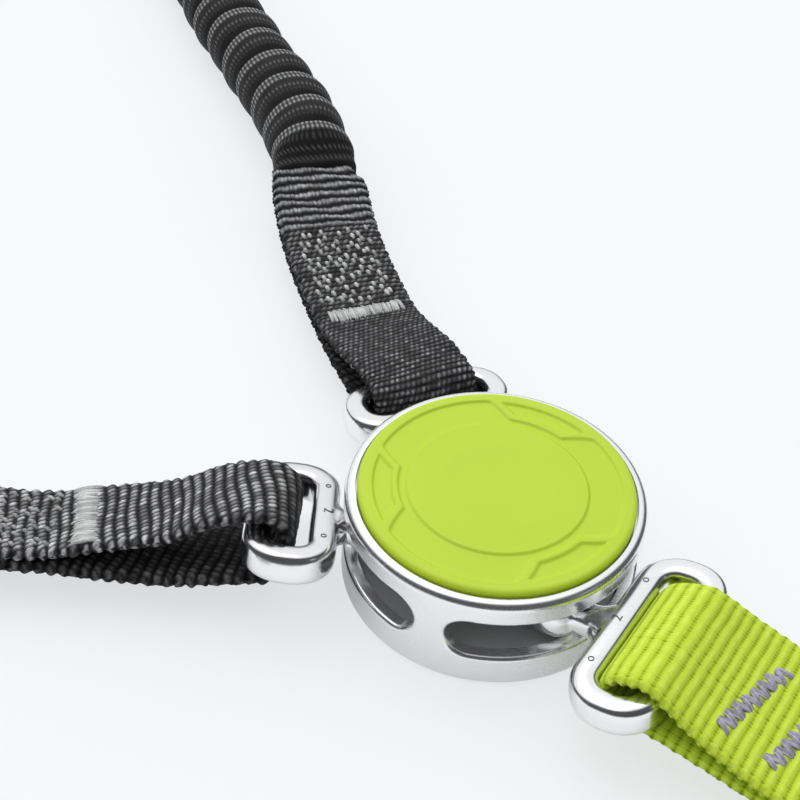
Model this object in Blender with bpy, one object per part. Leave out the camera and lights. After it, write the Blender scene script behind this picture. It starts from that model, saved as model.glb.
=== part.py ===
"""Via ferrata lanyard: a swivel hub with three links, two elastic arms with
carabiners, and a webbing tail with its energy absorber and tie-in loop.

Metres, +Z up. The hub's underside centre is the origin, and the lanyard lies
on the plane z = 0. Azimuths are measured anticlockwise from +X.
"""

import math

import bmesh
import bpy
from mathutils import Matrix, Vector

UP = Vector((0.0, 0.0, 1.0))

# Clearances
FIT_GAP = 0.0003
RUNNING_GAP = 0.0004
ARM_WINDOW_SIDE_ROOM = 0.0010
TAIL_WINDOW_SIDE_ROOM = 0.0003
EYE_SIDE_ROOM = 0.0005
LAYER_GAP = 0.0004
LINK_STANDOFF = 0.0004
STRAP_END_GAP = 0.0006
CUT_OVERRUN = 0.002

# Swivel hub housing
HUB_RADIUS = 0.0240
HUB_WALL = 0.0022
HUB_FLOOR = 0.0033
HUB_BASE_ROUND = 0.0014
HUB_LIP_ROUND = 0.0013
PAD_BORE_LIP = 0.00165

# Slots through the housing wall, one for each link
SLOT_COUNT = 3
SLOT_HEIGHT = 0.0075
SLOT_EDGE_ROUND = 0.0008
SLOT_FIRST_AZIMUTH = math.radians(-54.0)
SLOT_TRAVEL_HALF_ANGLE = math.radians(44.3)

# Inside the housing
BALL_RADIUS = 0.0045
LOWER_GLIDE_THICKNESS = 0.0017
UPPER_GLIDE_THICKNESS = 0.0007
COVER_THICKNESS = 0.0008
BOSS_RADIUS = 0.0050
BOSS_HEIGHT = 0.0045
BOLT_RADIUS = 0.0030
BOLT_HEAD_RADIUS = 0.0052
BOLT_SOCKET_ACROSS = 0.0040

# Moulded pad on the cover
PAD_THICKNESS = 0.0023
PAD_PROUD = 0.0010
PAD_CROWN = 0.0004
PAD_EDGE_ROUND = 0.0008
PAD_STEP = 0.00025
PAD_RING_WIDTH = 0.0022
PAD_MIDDLE_RADIUS = 0.0144
PAD_DISH_RADIUS = 0.0090
PAD_LAND_WIDTH = 0.0042
PAD_LAND_HALF_ANGLE = math.radians(28.5)
PAD_LAND_FLAT_HALF_ANGLE = math.radians(17.0)
PAD_POCKET_MARGIN = 0.0011
PAD_POCKET_DEPTH = 0.0004

# Links: forged frames with a necked ball foot
NECK_RADIUS = 0.0025
NECK_FLARE_WIDTH = 0.0116
NECK_SWELL_SHARE = 1.3
NECK_SHOULDER_SHARE = 0.76
LINK_BAR = 0.0045
LINK_THICKNESS = 0.0055
LINK_CORNER_RADIUS = 0.0046
LINK_WINDOW_DEPTH = 0.0058
REAR_FOOT_AZIMUTH = math.radians(109.6)
LEFT_FOOT_AZIMUTH = math.radians(188.7)
TAIL_FOOT_AZIMUTH = math.radians(-58.8)
REAR_LINK_AZIMUTH = math.radians(112.5)
LEFT_LINK_AZIMUTH = math.radians(180.0)
TAIL_LINK_AZIMUTH = math.radians(-29.5)
REAR_LINK_PITCH = math.radians(-9.9)
LEFT_LINK_PITCH = math.radians(5.0)
TAIL_LINK_PITCH = math.radians(9.2)
LEFT_LINK_ROLL = math.radians(15.0)

# Webbing, doubled back through the links
WEBBING_THICKNESS = 0.0016
ARM_WEBBING_WIDTH = 0.0190
TAIL_WEBBING_WIDTH = 0.0250
REAR_STRAP_LENGTH = 0.0670
LEFT_STRAP_LENGTH = 0.0685
TAIL_STRAP_LENGTH = 0.0680
REAR_STRAP_REST_HEIGHT = 0.0052
LEFT_STRAP_REST_HEIGHT = 0.0049
REAR_FOLD_SLACK = (0.0010, 0.0005, 0.0005)
LEFT_FOLD_SLACK = (0.0018, 0.0008, 0.0024)
TAIL_FOLD_SLACK = (0.0016, 0.0004, 0.0004)
END_FOLD_SLACK = (0.0, 0.0, 0.0)
LEFT_STRAP_FOLD_ROLL = math.radians(17.5)
LEFT_STRAP_END_ROLL = math.radians(12.0)
TAIL_STRAP_FOLD_ROLL = math.radians(-2.0)

# Elastic arms
ELASTIC_RADIUS = 0.0080
ELASTIC_FOLD_RADIUS = 0.0062
ELASTIC_PITCH = 0.0094
ELASTIC_SWELL_SHARE = 0.45
ELASTIC_PLEAT_SHARE = 0.95
ELASTIC_AXIS_HEIGHT = 0.0083
ELASTIC_START_HEIGHT = 0.0092
ELASTIC_SETTLE_LENGTH = 0.0600

# Arm ends: a short loop of webbing through the carabiner's strap bar
END_LOOP_LENGTH = 0.0450
END_LOOP_REST_HEIGHT = 0.0040
KEEPER_LENGTH = 0.0090
KEEPER_WALL = 0.0014
KEEPER_FROM_BAR = 0.0290

# Carabiner
CARABINER_WIDTH = 0.0660
GATE_PIN_REACH = 0.0252
BASKET_DEPTH = 0.0218
CARABINER_BAR_WIDTH = 0.0100
CARABINER_THICKNESS = 0.0104
EYE_CORNER_RADIUS = 0.0065
STRAP_BAR_WIDTH = 0.0076
STRAP_BAR_THICKNESS = 0.0056
STRAP_BAR_BLEND = 0.0070
GATE_LENGTH = 0.0657
GATE_THICKNESS = 0.0100
GATE_WIDTH = 0.0092
GATE_SLANT = math.radians(8.2)
GATE_EYE_RADIUS = 0.0050
TANG_THICKNESS = 0.0042
PIN_RADIUS = 0.0018
NOSE_TONGUE_THICKNESS = 0.0030
NOSE_TONGUE_LENGTH = 0.0050
NOSE_TONGUE_WIDTH = 0.0064
PLUNGER_RADIUS = 0.0016
PLUNGER_LENGTH = 0.0140
LEVER_THICKNESS = 0.0026
LEVER_WIDTH = 0.0088
LEVER_TANG_THICKNESS = 0.0030
LEVER_EYE_RADIUS = 0.0028
LEVER_PIN_RADIUS = 0.0014
LEVER_PIVOT_BEHIND_SPINE = 0.0012

# Energy absorber and tie-in loop
POUCH_LENGTH = 0.1060
POUCH_WALL = 0.0015
POUCH_SIDE_ROOM = 0.0020
POUCH_CORNER = 0.0050
POUCH_INSERT = 0.0030
PACK_LAYERS = 7
TIE_IN_LENGTH = 0.1195
TIE_IN_EYE_HEIGHT = 0.0090
TIE_IN_REST_HEIGHT = 0.0015

# Counts
HUB_FACETS = 64
HIDDEN_FACETS = 24
ARC_STEPS = 3
SLOT_STEPS = 10

# Side shapes of the straps, from the outer end to the bar and back below it:
# share of the length, share of the rise to the bar, share of the rise to the outer end
REAR_UPPER_SHARES = [
    (1.00, 0.0, 1.0), (0.83, 0.0, 0.40), (0.64, 0.0, 0.0), (0.45, 0.0, 0.0), (0.31, 0.13, 0.0),
    (0.18, 0.58, 0.0), (0.08, 0.95, 0.0),
]
REAR_LOWER_SHARES = [
    (0.09, 0.75, 0.0), (0.18, 0.30, 0.0), (0.31, 0.0, 0.0), (0.45, 0.0, 0.0), (0.64, 0.0, 0.0),
    (0.83, 0.0, 0.40), (1.00, 0.0, 1.0),
]
LEFT_UPPER_SHARES = [
    (1.00, 0.0, 1.0), (0.80, 0.0, 0.45), (0.61, 0.0, 0.0), (0.47, 0.06, 0.0), (0.35, 0.26, 0.0),
    (0.20, 0.50, 0.0), (0.09, 0.86, 0.0),
]
LEFT_LOWER_SHARES = [
    (0.09, -0.2, 0.0), (0.20, -1.6, 0.0), (0.35, -1.2, 0.0), (0.47, -0.35, 0.0), (0.61, 0.0, 0.0),
    (0.80, 0.0, 0.45), (1.00, 0.0, 1.0),
]
TAIL_UPPER_SHARES = [
    (1.00, 0.0, 1.0), (0.76, 0.06, 1.0), (0.56, 0.20, 1.0), (0.37, 0.33, 1.0), (0.22, 0.44, 1.0),
    (0.12, 0.64, 1.0), (0.05, 0.97, 1.0),
]
TAIL_LOWER_SHARES = [
    (0.07, 0.99, 1.0), (0.16, 0.90, 1.0), (0.26, 0.75, 1.0), (0.38, 0.60, 1.0), (0.56, 0.37, 1.0),
    (0.76, 0.10, 1.0), (1.00, 0.0, 1.0),
]
END_UPPER_SHARES = [
    (1.00, 0.0, 1.0), (0.90, 0.0, 0.55), (0.77, 0.0, 0.0), (0.51, 0.0, 0.0), (0.30, 0.40, 0.0),
    (0.15, 0.88, 0.0),
]
END_LOWER_SHARES = [
    (0.15, 0.88, 0.0), (0.30, 0.40, 0.0), (0.51, 0.0, 0.0), (0.77, 0.0, 0.0), (0.90, 0.0, 0.55),
    (1.00, 0.0, 1.0),
]
FOLD_TURN_SHARES = [0.0, 0.18, 0.36, 0.5, 0.64, 0.82, 1.0]
FOLD_SQUARENESS_SHARE = 0.8

# Side shape of the tie-in loop: share of its length, share of the height of its eye
TIE_IN_UPPER_SHARES = [
    (0.0, 0.0), (0.04, 0.0), (0.16, 0.0), (0.32, 0.02), (0.50, 0.16), (0.68, 0.48), (0.82, 0.86),
    (0.92, 1.0), (0.985, 0.72),
]
TIE_IN_LOWER_SHARES = [
    (0.86, 0.02), (0.68, 0.0), (0.50, 0.0), (0.32, 0.0), (0.16, 0.0), (0.04, 0.0), (0.0, 0.0),
]
TIE_IN_SETTLE_SHARES = (0.04, 0.16)
TIE_IN_APEX_SHARE = 0.35
TIE_IN_TURN_SHARES = (0.97, 0.55)

# Carabiner outline. Spine: shares of length and width. Basket: shares of the way
# from the nose to the far end, and of the nose's distance from the middle
GATE_PIN_WIDTH_SHARE = 0.250
GATE_LEG_SHARE = 0.62
SPINE_SHARES = [
    (0.205, -0.312), (0.360, -0.372), (0.560, -0.420), (0.740, -0.440), (0.862, -0.375), (0.935, -0.210),
]
BASKET_SHARES = [(1.0, 0.0), (0.93, 0.42), (0.72, 0.75), (0.38, 0.95)]
LEVER_PIVOT_SHARE = 0.300
LEVER_SHARES = [
    (0.215, -0.480), (0.300, -0.490), (0.420, -0.530), (0.560, -0.590), (0.680, -0.640), (0.760, -0.655),
]
GATE_SWELL_SHARES = [(0.0, 0.92), (0.1, 0.97), (0.3, 1.0), (0.65, 1.0), (0.93, 0.95), (1.0, 0.84)]

# Plan of the rear strap in its link's own frame, from the far bar outwards
REAR_STRAP_PLAN = [
    (-0.0130, -0.0004), (0.0000, 0.0000), (0.0169, 0.0019), (0.0325, 0.0016), (0.0499, 0.0003),
    (0.0691, -0.0028),
]

# Plans of the relaxed elastics from where the straps end
REAR_ELASTIC_PLAN = [
    (0.0000, 0.0000), (-0.0042, 0.0148), (-0.0110, 0.0305), (-0.0199, 0.0490), (-0.0291, 0.0690),
    (-0.0377, 0.0907), (-0.0454, 0.1137), (-0.0524, 0.1377), (-0.0614, 0.1597), (-0.0759, 0.1772),
    (-0.0954, 0.1857), (-0.1159, 0.1797), (-0.1289, 0.1627), (-0.1339, 0.1417), (-0.1349, 0.1267),
]
LEFT_ELASTIC_PLAN = [
    (0.0000, 0.0000), (-0.0170, 0.0000), (-0.0360, 0.0008), (-0.0560, 0.0018), (-0.0760, 0.0018),
    (-0.0960, 0.0008), (-0.1160, -0.0012), (-0.1370, -0.0046), (-0.1600, -0.0120), (-0.1770, -0.0250),
    (-0.1840, -0.0420), (-0.1800, -0.0600), (-0.1670, -0.0720), (-0.1470, -0.0768), (-0.1240, -0.0772),
]

# Heights and radii of the hub's stack, from the floor up
BALL_BOTTOM = HUB_FLOOR + FIT_GAP + LOWER_GLIDE_THICKNESS + FIT_GAP
SLOT_MIDDLE_HEIGHT = BALL_BOTTOM + BALL_RADIUS
BALL_TOP = SLOT_MIDDLE_HEIGHT + BALL_RADIUS
UPPER_GLIDE_LOW = BALL_TOP + FIT_GAP
COVER_UNDERSIDE = UPPER_GLIDE_LOW + UPPER_GLIDE_THICKNESS + FIT_GAP
COVER_TOP = COVER_UNDERSIDE + COVER_THICKNESS
PAD_UNDERSIDE = COVER_TOP + FIT_GAP
PAD_HEIGHT = PAD_UNDERSIDE + PAD_THICKNESS
HUB_HEIGHT = PAD_HEIGHT - PAD_PROUD
BORE_RADIUS = HUB_RADIUS - HUB_WALL
BALL_TRACK_RADIUS = BORE_RADIUS - math.sqrt((BALL_RADIUS + FIT_GAP) ** 2 - (SLOT_HEIGHT / 2) ** 2)
DRUM_RADIUS = BALL_TRACK_RADIUS - BALL_RADIUS - FIT_GAP
PAD_RADIUS = HUB_RADIUS - PAD_BORE_LIP - FIT_GAP
PAD_RING_RADIUS = PAD_RADIUS - PAD_RING_WIDTH

# Sizes that follow the webbing
LAYER_SPACING = WEBBING_THICKNESS + LAYER_GAP
ARM_WINDOW_LENGTH = ARM_WEBBING_WIDTH + 2 * ARM_WINDOW_SIDE_ROOM
TAIL_WINDOW_LENGTH = TAIL_WEBBING_WIDTH + 2 * TAIL_WINDOW_SIDE_ROOM
EYE_LENGTH = ARM_WEBBING_WIDTH + 2 * EYE_SIDE_ROOM
CARABINER_LENGTH = GATE_PIN_REACH + GATE_LENGTH * math.cos(GATE_SLANT) + BASKET_DEPTH
CARABINER_HEIGHT = CARABINER_THICKNESS / 2 + FIT_GAP
POUCH_WIDTH = TAIL_WEBBING_WIDTH + 2 * (POUCH_SIDE_ROOM + POUCH_WALL)
POUCH_HEIGHT = 2 * (POUCH_WALL + FIT_GAP) + PACK_LAYERS * LAYER_SPACING
POUCH_LAYER_HEIGHT = POUCH_WALL + FIT_GAP + WEBBING_THICKNESS / 2

METALS = {
    "satin_aluminium": ((0.80, 0.80, 0.81), 0.28, 1.0),
    "forged_aluminium": ((0.78, 0.78, 0.79), 0.22, 1.0),
    "steel": ((0.62, 0.62, 0.63), 0.30, 1.0),
    "gate_aluminium": ((0.70, 0.71, 0.73), 0.25, 1.0),
}
SOFTS = {
    "lime_pad": ((0.58, 0.76, 0.08), 0.55, 0.0),
    "acetal": ((0.82, 0.82, 0.80), 0.45, 0.0),
    "dark_webbing": ((0.035, 0.036, 0.038), 0.85, 0.0),
    "lime_webbing": ((0.50, 0.66, 0.06), 0.80, 0.0),
    "dark_fabric": ((0.030, 0.031, 0.033), 0.90, 0.0),
    "rubber": ((0.020, 0.020, 0.020), 0.70, 0.0),
    "lever_plastic": ((0.42, 0.60, 0.05), 0.40, 0.0),
}


def clear_scene():
    """Remove whatever the file opens with."""
    for obj in list(bpy.data.objects):
        bpy.data.objects.remove(obj, do_unlink=True)


def make_materials():
    """One Principled material for each finish."""
    made = {}
    for name, (colour, roughness, metallic) in {**METALS, **SOFTS}.items():
        material = bpy.data.materials.new(name)
        material.use_nodes = True
        shader = material.node_tree.nodes["Principled BSDF"]
        shader.inputs["Base Color"].default_value = (*colour, 1.0)
        shader.inputs["Roughness"].default_value = roughness
        shader.inputs["Metallic"].default_value = metallic
        made[name] = material
    return made


def add_object(name, mesh, material):
    """Link a mesh as a named object with its material and smooth shading."""
    obj = bpy.data.objects.new(name, mesh)
    bpy.context.scene.collection.objects.link(obj)
    mesh.materials.clear()
    mesh.materials.append(material)
    shade(obj, math.radians(35.0))
    return obj


def shade(obj, sharp_angle):
    """Shade an object smooth, with its steeper edges sharp."""
    obj.data.shade_smooth()
    obj.data.set_sharp_from_angle(angle=sharp_angle)


def add_empty(name, location, turn, parent=None):
    """An empty on a joint's axis or at a piece's own frame."""
    empty = bpy.data.objects.new(name, None)
    bpy.context.scene.collection.objects.link(empty)
    empty.location = location
    empty.rotation_euler = turn
    empty.parent = parent
    return empty


def mesh_from(vertices, faces):
    """A closed mesh with its faces turned outwards."""
    whole_faces = []
    for face in faces:
        corners = list(dict.fromkeys(face))
        if len(corners) > 2:
            whole_faces.append(corners)
    mesh = bpy.data.meshes.new("shape")
    mesh.from_pydata(vertices, [], whole_faces)
    shape = bmesh.new()
    shape.from_mesh(mesh)
    bmesh.ops.recalc_face_normals(shape, faces=shape.faces)
    shape.to_mesh(mesh)
    shape.free()
    return mesh


def apply_boolean(obj, other, operation):
    """Cut or join another object into this one and remove the other."""
    modifier = obj.modifiers.new("shape", "BOOLEAN")
    modifier.operation = operation
    modifier.solver = "EXACT"
    modifier.object = other
    bpy.context.view_layer.update()
    result = bpy.data.meshes.new_from_object(obj.evaluated_get(bpy.context.evaluated_depsgraph_get()))
    obj.modifiers.remove(modifier)
    material = obj.data.materials[0]
    obj.data = result
    result.materials.clear()
    result.materials.append(material)
    bpy.data.objects.remove(other, do_unlink=True)


def cut(obj, cutter):
    apply_boolean(obj, cutter, "DIFFERENCE")


def join(obj, other):
    apply_boolean(obj, other, "UNION")


def turned_mesh(profile, facets):
    """Revolve a closed profile of (radius, height) points about Z; radius 0 is a pole."""
    vertices = []
    rings = []
    for radius, height in profile:
        if radius == 0:
            rings.append([len(vertices)] * facets)
            vertices.append((0.0, 0.0, height))
            continue
        rings.append([len(vertices) + k for k in range(facets)])
        for k in range(facets):
            angle = 2 * math.pi * k / facets
            vertices.append((radius * math.cos(angle), radius * math.sin(angle), height))
    faces = []
    for index in range(len(rings)):
        low = rings[index]
        high = rings[(index + 1) % len(rings)]
        for k in range(facets):
            after = (k + 1) % facets
            faces.append((low[k], low[after], high[after], high[k]))
    return mesh_from(vertices, faces)


def arc_points(centre, radius, start, end, steps=ARC_STEPS):
    """Points of an arc in a profile, ends included."""
    points = []
    for step in range(steps + 1):
        angle = start + (end - start) * step / steps
        points.append((centre[0] + radius * math.cos(angle), centre[1] + radius * math.sin(angle)))
    return points


def smooth_curve(points, samples):
    """A Catmull-Rom curve through a route's points."""
    route = [Vector(point) for point in points]
    route = [route[0] * 2 - route[1]] + route + [route[-1] * 2 - route[-2]]
    curve = []
    for index in range(1, len(route) - 2):
        before, start, end, after = route[index - 1:index + 3]
        for step in range(samples):
            t = step / samples
            curve.append(
                0.5 * (
                    2 * start + (end - before) * t
                    + (2 * before - 5 * start + 4 * end - after) * t * t
                    + (3 * start - before - 3 * end + after) * t * t * t
                )
            )
    curve.append(route[-2].copy())
    return curve


def tangents(points, closed=False):
    """Unit directions along a list of points."""
    found = []
    count = len(points)
    for index in range(count):
        if closed:
            ahead = points[(index + 1) % count]
            behind = points[index - 1]
        else:
            ahead = points[min(index + 1, count - 1)]
            behind = points[max(index - 1, 0)]
        found.append((ahead - behind).normalized())
    return found


def swept_mesh(stations, closed=False):
    """Skin a row of sections, each a list of as many points; ends are capped."""
    vertices = []
    for section in stations:
        vertices.extend(section)
    sides = len(stations[0])
    faces = []
    last = len(stations) if closed else len(stations) - 1
    for index in range(last):
        low = index * sides
        high = ((index + 1) % len(stations)) * sides
        for k in range(sides):
            after = (k + 1) % sides
            faces.append([low + k, low + after, high + after, high + k])
    if not closed:
        faces.append(list(range(sides)))
        faces.append([len(vertices) - sides + k for k in range(sides)])
    return mesh_from(vertices, faces)


def rounded_section(centre, across, up, half_width, half_height, sides=12, squareness=3.0):
    """A superellipse section in the plane of two unit directions."""
    section = []
    for k in range(sides):
        angle = 2 * math.pi * (k + 0.5) / sides
        cosine = math.cos(angle)
        sine = math.sin(angle)
        x = math.copysign(abs(cosine) ** (2 / squareness), cosine)
        y = math.copysign(abs(sine) ** (2 / squareness), sine)
        section.append(centre + across * (x * half_width) + up * (y * half_height))
    return section


def cornered_section(centre, across, up, half_width, half_height, corner):
    """A rectangle with round corners in the plane of two unit directions."""
    section = []
    for quarter, (x, y) in enumerate(((1, 1), (-1, 1), (-1, -1), (1, -1))):
        middle = (x * (half_width - corner), y * (half_height - corner))
        start = quarter * math.pi / 2
        for a, b in arc_points(middle, corner, start, start + math.pi / 2):
            section.append(centre + across * a + up * b)
    return section


def webbing_section(centre, side, normal, width):
    """A flat section with pointed edges, as woven webbing has."""
    half = width / 2
    skin = WEBBING_THICKNESS / 2
    return [
        centre + side * half,
        centre + side * (half - skin) + normal * skin,
        centre - side * (half - skin) + normal * skin,
        centre - side * half,
        centre - side * (half - skin) - normal * skin,
        centre + side * (half - skin) - normal * skin,
    ]


def webbing_mesh(points, sides, width):
    """Sweep webbing along points, its width along the given side directions."""
    stations = []
    for point, along, side in zip(points, tangents(points), sides):
        normal = side.cross(along).normalized()
        stations.append(webbing_section(point, side, normal, width))
    return swept_mesh(stations)


def box_mesh(low, high):
    """A box between two corners."""
    vertices = [
        (x, y, z) for z in (low[2], high[2]) for x, y in (
            (low[0], low[1]), (high[0], low[1]), (high[0], high[1]), (low[0], high[1]),
        )
    ]
    faces = [
        (0, 3, 2, 1), (4, 5, 6, 7), (0, 1, 5, 4), (1, 2, 6, 5), (2, 3, 7, 6), (3, 0, 4, 7),
    ]
    return mesh_from(vertices, faces)


def rod_mesh(radius, low, high, facets):
    """A round rod along Z about the origin."""
    return turned_mesh([(0.0, low), (radius, low), (radius, high), (0.0, high)], facets)


def ball_mesh(radius):
    """A ball about the origin."""
    shape = bmesh.new()
    bmesh.ops.create_uvsphere(shape, u_segments=16, v_segments=8, radius=radius)
    mesh = bpy.data.meshes.new("ball")
    shape.to_mesh(mesh)
    shape.free()
    return mesh


def scratch_object(mesh, matrix=None):
    """An object that a Boolean uses up."""
    mesh.materials.append(MATERIALS["steel"])
    obj = bpy.data.objects.new("tool", mesh)
    bpy.context.scene.collection.objects.link(obj)
    if matrix is not None:
        obj.matrix_world = matrix
    return obj


def polar(radius, azimuth):
    """A point of the plan from its radius and azimuth."""
    return Vector((radius * math.cos(azimuth), radius * math.sin(azimuth), 0.0))


# Swivel hub

def slot_azimuth(index):
    """Middle of one of the wall's slots."""
    return SLOT_FIRST_AZIMUTH + 2 * math.pi * index / SLOT_COUNT


def slot_cutter(azimuth):
    """A round-ended slot wrapped round the wall, flared where it meets the outside."""
    middle_radius = HUB_RADIUS - HUB_WALL / 2
    half = SLOT_HEIGHT / 2
    layers = [(DRUM_RADIUS, 0.0), (HUB_RADIUS - SLOT_EDGE_ROUND, 0.0)]
    for step in range(1, ARC_STEPS):
        angle = math.pi / 2 * step / (ARC_STEPS - 1)
        depth = SLOT_EDGE_ROUND * (1 - math.sin(angle))
        layers.append((HUB_RADIUS - depth, SLOT_EDGE_ROUND * (1 - math.cos(angle))))
    layers.append((HUB_RADIUS + CUT_OVERRUN, SLOT_EDGE_ROUND + CUT_OVERRUN))
    columns = [(-1, math.pi / 2 * (1 - step / ARC_STEPS)) for step in range(ARC_STEPS + 1)]
    columns += [(-1 + 2 * step / SLOT_STEPS, 0.0) for step in range(1, SLOT_STEPS)]
    columns += [(1, math.pi / 2 * step / ARC_STEPS) for step in range(ARC_STEPS + 1)]
    vertices = []
    rows = []
    for radius, growth in layers:
        row = []
        for place, lean in columns:
            reach = math.copysign((half + growth) * math.sin(lean), place)
            turn = azimuth + place * SLOT_TRAVEL_HALF_ANGLE + reach / middle_radius
            spot = polar(radius, turn)
            rise = (half + growth) * math.cos(lean)
            if lean == math.pi / 2:
                vertices.append((spot.x, spot.y, SLOT_MIDDLE_HEIGHT))
                row.append((len(vertices) - 1, len(vertices) - 1))
            else:
                vertices.append((spot.x, spot.y, SLOT_MIDDLE_HEIGHT + rise))
                vertices.append((spot.x, spot.y, SLOT_MIDDLE_HEIGHT - rise))
                row.append((len(vertices) - 2, len(vertices) - 1))
        rows.append(row)
    faces = []
    for row in (rows[0], rows[-1]):
        for (top, low), (next_top, next_low) in zip(row, row[1:]):
            faces.append((top, next_top, next_low, low))
    for row, above in zip(rows, rows[1:]):
        for k in range(len(row) - 1):
            for edge in (0, 1):
                faces.append((row[k][edge], row[k + 1][edge], above[k + 1][edge], above[k][edge]))
    return mesh_from(vertices, faces)


def make_housing_cup():
    """Turned cup: floor with a blind boss, wall with three slots, and a polished lip."""
    pad_bore = PAD_RADIUS + FIT_GAP
    base_round = (HUB_RADIUS - HUB_BASE_ROUND, HUB_BASE_ROUND)
    lip_round = (HUB_RADIUS - HUB_LIP_ROUND, HUB_HEIGHT - HUB_LIP_ROUND)
    blind_bottom = HUB_FLOOR / 2
    boss_top = HUB_FLOOR + BOSS_HEIGHT
    profile = [(0.0, 0.0)]
    profile += arc_points(base_round, HUB_BASE_ROUND, -math.pi / 2, 0.0)
    profile += arc_points(lip_round, HUB_LIP_ROUND, 0.0, math.pi / 2)
    profile += [
        (pad_bore, HUB_HEIGHT),
        (pad_bore, COVER_TOP),
        (BORE_RADIUS, COVER_TOP),
        (BORE_RADIUS, HUB_FLOOR),
        (BOSS_RADIUS, HUB_FLOOR),
        (BOSS_RADIUS, boss_top),
        (BOLT_RADIUS + FIT_GAP, boss_top),
        (BOLT_RADIUS + FIT_GAP, blind_bottom),
        (0.0, blind_bottom),
    ]
    cup = add_object("housing_cup", turned_mesh(profile, HUB_FACETS), MATERIALS["satin_aluminium"])
    for index in range(SLOT_COUNT):
        cut(cup, scratch_object(slot_cutter(slot_azimuth(index))))
    shade(cup, math.radians(35.0))


def make_core_drum():
    """Steel spacer between floor and cover: the inner wall of the ball channel."""
    low = HUB_FLOOR + FIT_GAP
    high = COVER_UNDERSIDE - FIT_GAP
    step = HUB_FLOOR + BOSS_HEIGHT + FIT_GAP
    boss_bore = BOSS_RADIUS + FIT_GAP
    bolt_bore = BOLT_RADIUS + FIT_GAP
    profile = [
        (boss_bore, low), (DRUM_RADIUS, low), (DRUM_RADIUS, high), (bolt_bore, high),
        (bolt_bore, step), (boss_bore, step),
    ]
    add_object("core_drum", turned_mesh(profile, HIDDEN_FACETS), MATERIALS["steel"])


def make_glide_ring(name, low, thickness):
    """Acetal ring that the ball feet run on."""
    inner = DRUM_RADIUS + FIT_GAP
    outer = BORE_RADIUS - FIT_GAP
    profile = [(inner, low), (outer, low), (outer, low + thickness), (inner, low + thickness)]
    add_object(name, turned_mesh(profile, HIDDEN_FACETS), MATERIALS["acetal"])


def make_cover_plate():
    """Steel disc that closes the channel, countersunk for the bolt."""
    radius = BORE_RADIUS - FIT_GAP
    bore = BOLT_RADIUS + 3 * FIT_GAP
    sink = BOLT_HEAD_RADIUS + 3 * FIT_GAP
    profile = [(bore, COVER_UNDERSIDE), (radius, COVER_UNDERSIDE), (radius, COVER_TOP), (sink, COVER_TOP)]
    add_object("cover_plate", turned_mesh(profile, HIDDEN_FACETS), MATERIALS["steel"])


def make_centre_bolt():
    """Countersunk bolt through the cover and drum into the cup's boss."""
    low = HUB_FLOOR / 2 + FIT_GAP
    profile = [
        (0.0, low), (BOLT_RADIUS, low), (BOLT_RADIUS, COVER_UNDERSIDE), (BOLT_HEAD_RADIUS, COVER_TOP),
        (0.0, COVER_TOP),
    ]
    bolt = add_object("centre_bolt", turned_mesh(profile, HIDDEN_FACETS), MATERIALS["steel"])
    socket_radius = BOLT_SOCKET_ACROSS / math.sqrt(3)
    socket_floor = COVER_TOP - BOLT_SOCKET_ACROSS
    cut(bolt, scratch_object(rod_mesh(socket_radius, socket_floor, COVER_TOP + CUT_OVERRUN, 6)))


def land_outline(inner_radius, outer_radius, flat_half_angle, half_angle, azimuth):
    """A lens along the pad's edge: outer arc, slanting ends and inner arc."""
    outline = []
    for step in range(-ARC_STEPS, ARC_STEPS + 1):
        outline.append(polar(outer_radius, azimuth + half_angle * step / ARC_STEPS))
    for step in range(2, -3, -1):
        outline.append(polar(inner_radius, azimuth + flat_half_angle * step / 2))
    return outline


def prism_mesh(outline, low, high):
    """Extrude a plan outline between two heights."""
    count = len(outline)
    vertices = [(p.x, p.y, low) for p in outline] + [(p.x, p.y, high) for p in outline]
    faces = [list(range(count)), [count + k for k in range(count)]]
    for k in range(count):
        after = (k + 1) % count
        faces.append([k, after, count + after, count + k])
    return mesh_from(vertices, faces)


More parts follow.
